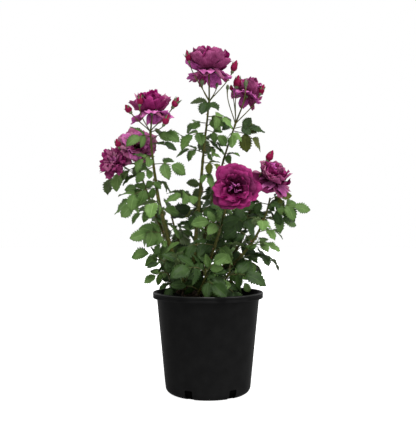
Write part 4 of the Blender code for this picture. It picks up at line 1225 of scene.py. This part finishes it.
flower_stalks = Bundle()
bristles = Bundle()
for number, flower in enumerate(FLOWERS):
    chance = random.Random(f"stalk {number}")
    big = isinstance(flower, Bloom)
    low, high = STALK_RADIUS if big else BUD_STALK_RADIUS
    path = stalk_path(flower, STALK_SPANS)
    radii = [low + (high - low) * i / STALK_SPANS for i in range(STALK_SPANS + 1)]
    radii[-2] = high * 1.25
    radii[-1] = high * (2.0 if big else 1.7)
    flower_stalks.add(*tube(path, radii, 8))
    for i in range(2, STALK_SPANS - 1):
        ahead = (path[i + 1] - path[i - 1]).normalized()
        away = ahead.cross(pointing(chance.uniform(0, 360), chance.uniform(-60, 60))).normalized()
        root = path[i] + away * radii[i] * 0.8
        bristles.add(*prickle(root, away, ahead, BRISTLE_LENGTH, BRISTLE_WIDTH))
for name in sorted({flower.limb for flower in FLOWERS}):
    tip = limb_point(name, 1.0)
    ahead = limb_along(name, 1.0)
    radius = LIMBS[name].tip_radius
    swell = [tip - ahead * 0.003, tip, tip + ahead * FORK_LENGTH * 0.6, tip + ahead * FORK_LENGTH]
    flower_stalks.add(*tube(swell, [radius, radius * 1.3, radius * 1.45, radius * 0.8], 10))
stalk_green = mottled_skin("flower stalk", 0.5, (0.046, 0.064, 0.010), (0.120, 0.104, 0.022),
                           70.0, 1500.0, 0.2, 0.0003, gloss=GREEN_GLOSS)
flower_stalks.piece("flower_stalks", [stalk_green], "green_cane")
bristles.piece("stalk_bristles", [prickle_skin], "green_cane").data.shade_flat()

# ---------------------------------------------------------------- sepals and hips
# Under each rose a small green hip and five pointed sepals, bent back once the flower
# has opened; round each bud they clasp it and part only at their tips.

SEPAL_WIDTHS = (0.62, 0.95, 1.0, 0.82, 0.58, 0.34, 0.16, 0.02)
SEPAL_THICK = 0.00035


def frame_of(axis):
    """Two directions square to an axis and to each other."""
    side = axis.cross(Vector((0.31, 0.87, 0.38))).normalized()
    return side, axis.cross(side)


def turned_body(base, axis, stations, sides, swirl=None):
    """A closed round body: stations of distance along the axis and radius, plain or swirled."""
    side, other = frame_of(axis)
    corners = []
    for i, (distance, radius) in enumerate(stations):
        for k in range(sides):
            out = around(side, other, math.tau * k / sides)
            corners.append(base + axis * distance + out * (radius * swirl(i, k) if swirl else radius))
    return corners, ring_faces(len(stations), sides)


def sheet_faces(rows, columns):
    """Faces of a sheet whose corners are laid row after row."""
    step = columns + 1
    return [(i * step + k, i * step + k + 1, i * step + k + step + 1, i * step + k + step)
            for i in range(rows) for k in range(columns)]


def strip(base, out, axis, length, width, first, last, wrap, widths, lobes=0.0):
    """A pointed green strip that starts and ends at two angles from the axis, bowed across."""
    side = axis.cross(out)
    place = base.copy()
    corners = []
    places = []
    rows = len(widths) - 1
    for i in range(rows + 1):
        t = i / rows
        turn = math.radians(first + (last - first) * t)
        ahead = out * math.sin(turn) + axis * math.cos(turn)
        up = axis * math.sin(turn) - out * math.cos(turn)
        wide = widths[i] * width / 2 * (1 + lobes * (i % 2))
        for v in (-1.0, 0.0, 1.0):
            corners.append(place + side * (v * wide) + up * (wrap * wide * v * v))
            places.append((0.5 + 0.5 * v, t))
        place = place + ahead * (length / rows)
    faces = [(a, d, c, b) for a, b, c, d in sheet_faces(rows, 2)]
    return corners, faces, places


# A hip's outline: shares of its length and of its width.
HIP_SHAPE = ((0.0, 0.42), (0.3, 0.92), (0.62, 1.0), (0.9, 0.86), (1.0, 0.5))

sepals = Bundle()
hips = Bundle()
for number, flower in enumerate(FLOWERS):
    chance = random.Random(f"sepals {number}")
    axis = pointing(flower.heading, flower.rise)
    base = Vector(flower.base)
    side, other = frame_of(axis)
    big = isinstance(flower, Bloom)
    swell = 0.0044 if big else max(0.0019, flower.girth * 0.50)
    long = 0.0100 if big else flower.length * 0.30
    stations = [(long * along, swell * wide) for along, wide in HIP_SHAPE]
    hips.add(*turned_body(base - axis * long * 0.35, axis, stations, 10))
    for k in range(5):
        turn = math.tau * (k + chance.uniform(-0.1, 0.1)) / 5
        out = around(side, other, turn)
        root = base + axis * (long * 0.45) + out * (swell * 0.72)
        if big:
            sepals.add(*strip(root, out, axis, 0.022 * chance.uniform(0.85, 1.15), 0.0064,
                              chance.uniform(70, 95), chance.uniform(130, 170), 0.25, SEPAL_WIDTHS, 0.18))
        else:
            reach = flower.length * chance.uniform(0.62, 0.90)
            open_to = chance.uniform(-4, 10) if chance.random() < 0.75 else chance.uniform(30, 60)
            sepals.add(*strip(root, out, axis, reach, max(0.0034, flower.girth * 1.20),
                              26, -20 + open_to, 0.5, SEPAL_WIDTHS, 0.10))
sepal_green = mottled_skin("sepal", 0.5, (0.055, 0.095, 0.030), (0.120, 0.150, 0.065),
                           130.0, 1500.0, 0.2, 0.0003)
thickened(sepals.piece("sepals", [sepal_green], "leaf"), SEPAL_THICK, 0)
hips.piece("hips", [sepal_green], "leaf")

# ---------------------------------------------------------------- roses
# Full double roses: whorls of broad ruffled petals about an axis, deep purple magenta
# inside and duller mauve behind, the oldest petals hanging.  The almost black heart and the
# deep inner petals are partly their own colour and partly painted shade for the rose's hollow.

PETAL_ROWS = 9
PETAL_COLUMNS = 11
# A petal's colour is multiplied by grey along its length: painted shade, darkest at the foot where the
# petals overlap, lighter through the body and none at the lip.
PETAL_FOOT_SHADE = (0.20, 0.12, 0.16)
PETAL_BODY_SHADE = (0.68, 0.58, 0.66)
DARKER_BODY_SHADE = (0.40, 0.34, 0.38)
PETAL_THICK = 0.00030
BUCKLE = 0.20

Whorl = namedtuple("Whorl", "count length width start end foot height ruffle kind")

# Lengths are shares of the rose's size; start and end are angles from its axis.
FULL_CUP = [Whorl(*row) for row in (
    (4, 1.08, 0.84, 90, 136, 0.12, 0.06, 0.12, "bright"),
    (5, 0.94, 0.68, 98, 156, 0.12, 0.12, 0.12, "bright"),
    (6, 1.22, 1.04, 78, 28, 0.10, 0.00, 0.12, "mauve"),
    (7, 1.24, 0.86, 68, 18, 0.10, 0.05, 0.13, "mauve"),
    (8, 1.18, 0.74, 60, 14, 0.10, 0.08, 0.13, "outer"),
    (8, 1.10, 0.66, 50, 8, 0.10, 0.10, 0.14, "mauve"),
    (8, 1.04, 0.58, 40, 2, 0.08, 0.12, 0.14, "outer"),
    (7, 1.01, 0.52, 28, -4, 0.06, 0.13, 0.14, "mauve"),
    (5, 0.98, 0.44, 16, -6, 0.04, 0.14, 0.12, "outer"),
    (4, 0.95, 0.36, 4, -8, 0.02, 0.14, 0.10, "deep"),
)]
DARK_CUP = [whorl._replace(kind={"mauve": "outer", "outer": "rich"}.get(whorl.kind, whorl.kind))
            for whorl in FULL_CUP]
OPEN_FACE = [Whorl(*row) for row in (
    (6, 1.36, 1.50, 52, 90, 0.10, 0.00, 0.09, "rich"),
    (6, 1.28, 1.36, 46, 74, 0.10, 0.05, 0.10, "rich"),
    (5, 1.08, 1.12, 48, 50, 0.12, 0.10, 0.12, "rich"),
    (7, 0.92, 0.80, 56, 14, 0.22, 0.12, 0.14, "rich"),
    (8, 0.60, 0.60, 90, 84, 0.02, 0.24, 0.04, "heart"),
    (7, 0.46, 0.50, 50, -8, 0.48, 0.22, 0.16, "vivid"),
    (6, 0.36, 0.40, 40, -16, 0.36, 0.24, 0.14, "heart"),
    (3, 0.38, 0.36, 34, -30, 0.16, 0.25, 0.18, "bright"),
    (3, 0.26, 0.22, 20, 30, 0.03, 0.25, 0.12, "heart"),
)]
SOFT_FACE = [Whorl(*row) for row in (
    (6, 1.30, 1.20, 56, 98, 0.10, 0.00, 0.09, "outer"),
    (6, 1.22, 1.08, 50, 84, 0.10, 0.03, 0.10, "bright"),
    (7, 1.08, 0.94, 50, 62, 0.10, 0.06, 0.11, "bright"),
    (6, 0.90, 0.78, 60, 30, 0.16, 0.06, 0.12, "bright"),
    (6, 0.66, 0.60, 66, 6, 0.16, 0.06, 0.12, "vivid"),
    (6, 0.50, 0.50, 80, 40, 0.02, 0.05, 0.12, "heart"),
    (4, 0.40, 0.30, 30, 10, 0.06, 0.06, 0.12, "deep"),
)]
RAGGED = [Whorl(*row) for row in (
    (7, 1.14, 0.84, 60, 112, 0.10, 0.00, 0.14, "vivid"),
    (8, 1.06, 0.70, 50, 94, 0.09, 0.05, 0.16, "rich"),
    (8, 0.92, 0.58, 42, 82, 0.08, 0.08, 0.18, "vivid"),
    (8, 0.70, 0.40, 28, 72, 0.06, 0.10, 0.18, "outer"),
    (7, 0.44, 0.24, 10, 60, 0.04, 0.12, 0.14, "bright"),
)]
GLOBE = [Whorl(*row) for row in (
    (6, 1.06, 1.00, 88, 126, 0.12, 0.02, 0.07, "outer"),
    (5, 1.02, 0.90, 96, 148, 0.12, 0.08, 0.08, "bright"),
    (6, 0.98, 0.96, 86, 8, 0.12, 0.04, 0.09, "mauve"),
    (7, 0.95, 0.80, 76, -4, 0.11, 0.07, 0.09, "mauve"),
    (7, 0.90, 0.68, 62, -10, 0.10, 0.09, 0.10, "outer"),
    (7, 0.85, 0.56, 46, -14, 0.08, 0.11, 0.12, "mauve"),
    (6, 0.80, 0.44, 28, -16, 0.05, 0.13, 0.12, "outer"),
    (5, 0.76, 0.34, 12, -16, 0.03, 0.14, 0.10, "mauve"),
)]

# The form and size of each rose, in the order of the table of roses.
FORMS = [(FULL_CUP, 0.0450), (DARK_CUP, 0.0390), (FULL_CUP, 0.0330), (GLOBE, 0.0430),
         (RAGGED, 0.0330), (SOFT_FACE, 0.0350), (OPEN_FACE, 0.0365)]

# The heart and deep colours, set in the middle whorls and now and then as strays, are partly the petals' own
# darker colour and partly painted shade in the rose's hollow.
PETAL_COLOURS = {
    "heart": (Colours((0.012, 0.0006, 0.002), (0.034, 0.0012, 0.008)),
              Colours((0.040, 0.0018, 0.014), (0.080, 0.0050, 0.034))),
    "deep": (Colours((0.100, 0.003, 0.038), (0.190, 0.008, 0.084)),
             Colours((0.12, 0.012, 0.056), (0.20, 0.032, 0.108))),
    "rich": (Colours((0.225, 0.004, 0.084), (0.365, 0.012, 0.160)),
             Colours((0.22, 0.014, 0.096), (0.32, 0.038, 0.162))),
    "vivid": (Colours((0.270, 0.012, 0.118), (0.410, 0.028, 0.205)),
              Colours((0.25, 0.034, 0.125), (0.36, 0.070, 0.205))),
    "outer": (Colours((0.250, 0.020, 0.118), (0.390, 0.046, 0.205)),
              Colours((0.27, 0.068, 0.150), (0.39, 0.122, 0.238))),
    "mauve": (Colours((0.265, 0.046, 0.142), (0.420, 0.098, 0.245)),
              Colours((0.34, 0.118, 0.200), (0.48, 0.205, 0.310))),
    "bright": (Colours((0.470, 0.078, 0.330), (0.680, 0.165, 0.520)),
               Colours((0.49, 0.118, 0.335), (0.66, 0.205, 0.480))),
}

# Petals of one whorl aren't all alike: now and then one is darker or paler than the rest.
STRAYS = {"heart": ("heart", "deep"), "deep": ("heart", "outer"), "outer": ("deep", "mauve"),
          "vivid": ("vivid", "outer"), "rich": ("rich", "deep", "vivid"),
          "mauve": ("deep", "outer", "rich", "bright"), "bright": ("mauve", "outer")}
STRAY_SHARE = 0.36


def petal(base, axis, turn, size, whorl, chance):
    """One petal on a round frame about the rose's axis: narrow foot, broad ruffled lip."""
    side, other = frame_of(axis)
    length = whorl.length * size * chance.uniform(0.84, 1.10)
    half = whorl.width * size * chance.uniform(0.82, 1.12) / 2
    start = whorl.start + chance.uniform(-8, 8)
    end = whorl.end + chance.uniform(-14, 12)
    cupped = chance.uniform(0.05, 0.26)
    ruffle = whorl.ruffle * size * chance.uniform(0.8, 1.6)
    waves = chance.uniform(3.2, 6.4)
    phase = chance.uniform(0, math.tau)
    notch = chance.uniform(-0.03, 0.10)
    slant = chance.uniform(-0.09, 0.09)
    lip = chance.uniform(18, 78)
    furl = chance.uniform(0.00, 0.30)
    reach = whorl.foot * size
    rise = whorl.height * size
    corners = []
    places = []
    for i in range(PETAL_ROWS + 1):
        t = i / PETAL_ROWS
        swell = math.sin(min(1.0, t / 0.70) * math.pi / 2)
        late = max(0.0, (t - 0.66) / 0.34)
        wide = half * (0.24 + 0.76 * swell) * (1 - 0.10 * late ** 2)
        angle = math.radians(start + (end - start) * t + lip * late ** 2)
        for j in range(PETAL_COLUMNS + 1):
            v = 2 * j / PETAL_COLUMNS - 1
            tip_wave = 0.022 * math.sin(waves * 1.5 * v + phase) + slant * v
            short = (0.20 * v * v + notch * math.exp(-24 * v * v) + tip_wave) * t * t * length
            radius = reach - math.sin(angle) * short
            along = rise - math.cos(angle) * short
            wrap = v * wide / max(radius, half * 0.62)
            out = around(side, other, turn + wrap)
            inward = axis * math.sin(angle) - out * math.cos(angle)
            edge = t * t * (0.40 + 0.60 * abs(v))
            fine_wave = 2.3 * waves * v * (0.5 + 0.5 * t) + 2 * phase
            crease = math.sin(waves * v + phase) * 0.62 + math.sin(fine_wave) * 0.38
            push = cupped * wide * v * v * (1 - t) + ruffle * edge * crease - furl * wide * late * v ** 4
            push += BUCKLE * size * t * noise.noise(Vector((v * 1.9 + phase, t * 2.4, turn * 5.0)))
            corners.append(base + axis * along + out * radius + inward * push)
            places.append((j / PETAL_COLUMNS, t))
        reach += math.sin(angle) * length / PETAL_ROWS
        rise += math.cos(angle) * length / PETAL_ROWS
    return corners, sheet_faces(PETAL_ROWS, PETAL_COLUMNS), places


def petal_skin(name, colours, roughness, body=PETAL_BODY_SHADE):
    """Velvety petal: two near colours mottled, darkened towards the foot as painted shade, crumples and fine
    lengthwise veins.
    """
    material, shader = shader_of(name, colours.low, roughness, gloss=0.0)
    tree = material.node_tree
    blotch = mottled(material, shader, colours.low, colours.high, 110.0, 900.0, 0.12, 0.0003)
    place = tree.nodes.new("ShaderNodeUVMap")
    place.uv_map = "across and along"
    along = node(tree, "ShaderNodeSeparateXYZ", Vector=place.outputs["UV"])
    shade = tree.nodes.new("ShaderNodeValToRGB")
    shade.color_ramp.elements[0].color = (*PETAL_FOOT_SHADE, 1.0)
    shade.color_ramp.elements[1].position = 0.94
    shade.color_ramp.elements[1].color = (1.0, 1.0, 1.0, 1.0)
    shade.color_ramp.elements.new(0.62).color = (*body, 1.0)
    tree.links.new(along.outputs["Y"], shade.inputs["Fac"])
    tint = node(tree, "ShaderNodeVectorMath", _0=blotch, _1=shade.outputs["Color"])
    tint.operation = "MULTIPLY"
    tree.links.new(tint.outputs["Vector"], shader.inputs["Base Color"])
    lines = node(tree, "ShaderNodeMapping", Vector=place.outputs["UV"], Scale=(13.0, 1.1, 1.0))
    streak = node(tree, "ShaderNodeTexNoise", Vector=lines.outputs["Vector"], Scale=1.6, Detail=2.0)
    solid_place = tree.nodes.new("ShaderNodeTexCoord").outputs["Object"]
    crumple = node(tree, "ShaderNodeTexNoise", Vector=solid_place, Scale=190.0, Detail=2.0)
    folds = node(tree, "ShaderNodeBump", Strength=0.75, Distance=0.0030, Height=crumple.outputs["Fac"])
    fine = node(tree, "ShaderNodeBump", Strength=0.60, Distance=0.0010, Height=streak.outputs["Fac"],
                Normal=folds.outputs["Normal"])
    tree.links.new(fine.outputs["Normal"], shader.inputs["Normal"])
    return material


petal_bundles = {kind: Bundle() for kind in PETAL_COLOURS}
for number, (bloom, (form, size)) in enumerate(zip(BLOOMS, FORMS)):
    chance = random.Random(f"rose {number}")
    axis = pointing(bloom.heading, bloom.rise)
    base = Vector(bloom.base)
    for ring, whorl in enumerate(form):
        shift = ring * 2.4 + chance.uniform(0, 0.6)
        for k in range(whorl.count):
            turn = math.tau * (k + chance.uniform(-0.12, 0.12)) / whorl.count + shift
            kind = chance.choice(STRAYS[whorl.kind]) if chance.random() < STRAY_SHARE else whorl.kind
            petal_bundles[kind].add(*petal(base, axis, turn, size, whorl, chance))
trusses = ["roses_" + name for name in sorted({bloom.limb for bloom in BLOOMS})]
for kind, bundle in petal_bundles.items():
    face_colours, back_colours = PETAL_COLOURS[kind]
    # Rich and deep petals take darker painted shade through their bodies, for the crevices between petals.
    body = DARKER_BODY_SHADE if kind in ("rich", "deep") else PETAL_BODY_SHADE
    skins = [petal_skin(f"{kind} petal face", face_colours, 0.52, body),
             petal_skin(f"{kind} petal back", back_colours, 0.62, body)]
    item = bundle.piece("petals_" + kind, skins, "petal", trusses if kind == "outer" else ())
    thickened(item, PETAL_THICK, 1)

# ---------------------------------------------------------------- buds
# Pointed crimson buds of tightly rolled petals, each overlap a faint spiral ridge;
# the youngest are still wholly green inside their sepals.

BUD_STATIONS = (0.34, 0.70, 0.93, 1.0, 0.97, 0.87, 0.73, 0.55, 0.34, 0.10)
BUD_SPANS = 18
BUD_SIDES = 18
GREEN_BUD = 0.0047


def bud_swirl(i, k):
    """How far the rolled petals stand out at one station and side: three spiral ridges."""
    t = i / BUD_SPANS
    furl = (k / BUD_SIDES * 3 + t * 1.15) % 1.0
    return 1 + 0.13 * (furl - 0.5) * min(1.0, t * 2.0)


bud_red = Bundle()
bud_green = Bundle()
for bud in BUDS:
    axis = pointing(bud.heading, bud.rise)
    base = Vector(bud.base) + axis * (bud.length * 0.08)
    tall = bud.length * 0.95
    stations = []
    for i in range(BUD_SPANS + 1):
        at = i / BUD_SPANS * (len(BUD_STATIONS) - 1)
        low = min(int(at), len(BUD_STATIONS) - 2)
        radius = BUD_STATIONS[low] + (BUD_STATIONS[low + 1] - BUD_STATIONS[low]) * (at - low)
        stations.append((tall * (i / BUD_SPANS), bud.girth * 0.94 * radius))
    bundle = bud_green if bud.girth < GREEN_BUD else bud_red
    bundle.add(*turned_body(base, axis, stations, BUD_SIDES, bud_swirl))
bud_skin = petal_skin("crimson bud", Colours((0.290, 0.012, 0.060), (0.430, 0.036, 0.125)), 0.42)
bud_red.piece("buds_red", [bud_skin], "petal")
bud_green.piece("buds_green", [sepal_green], "leaf")
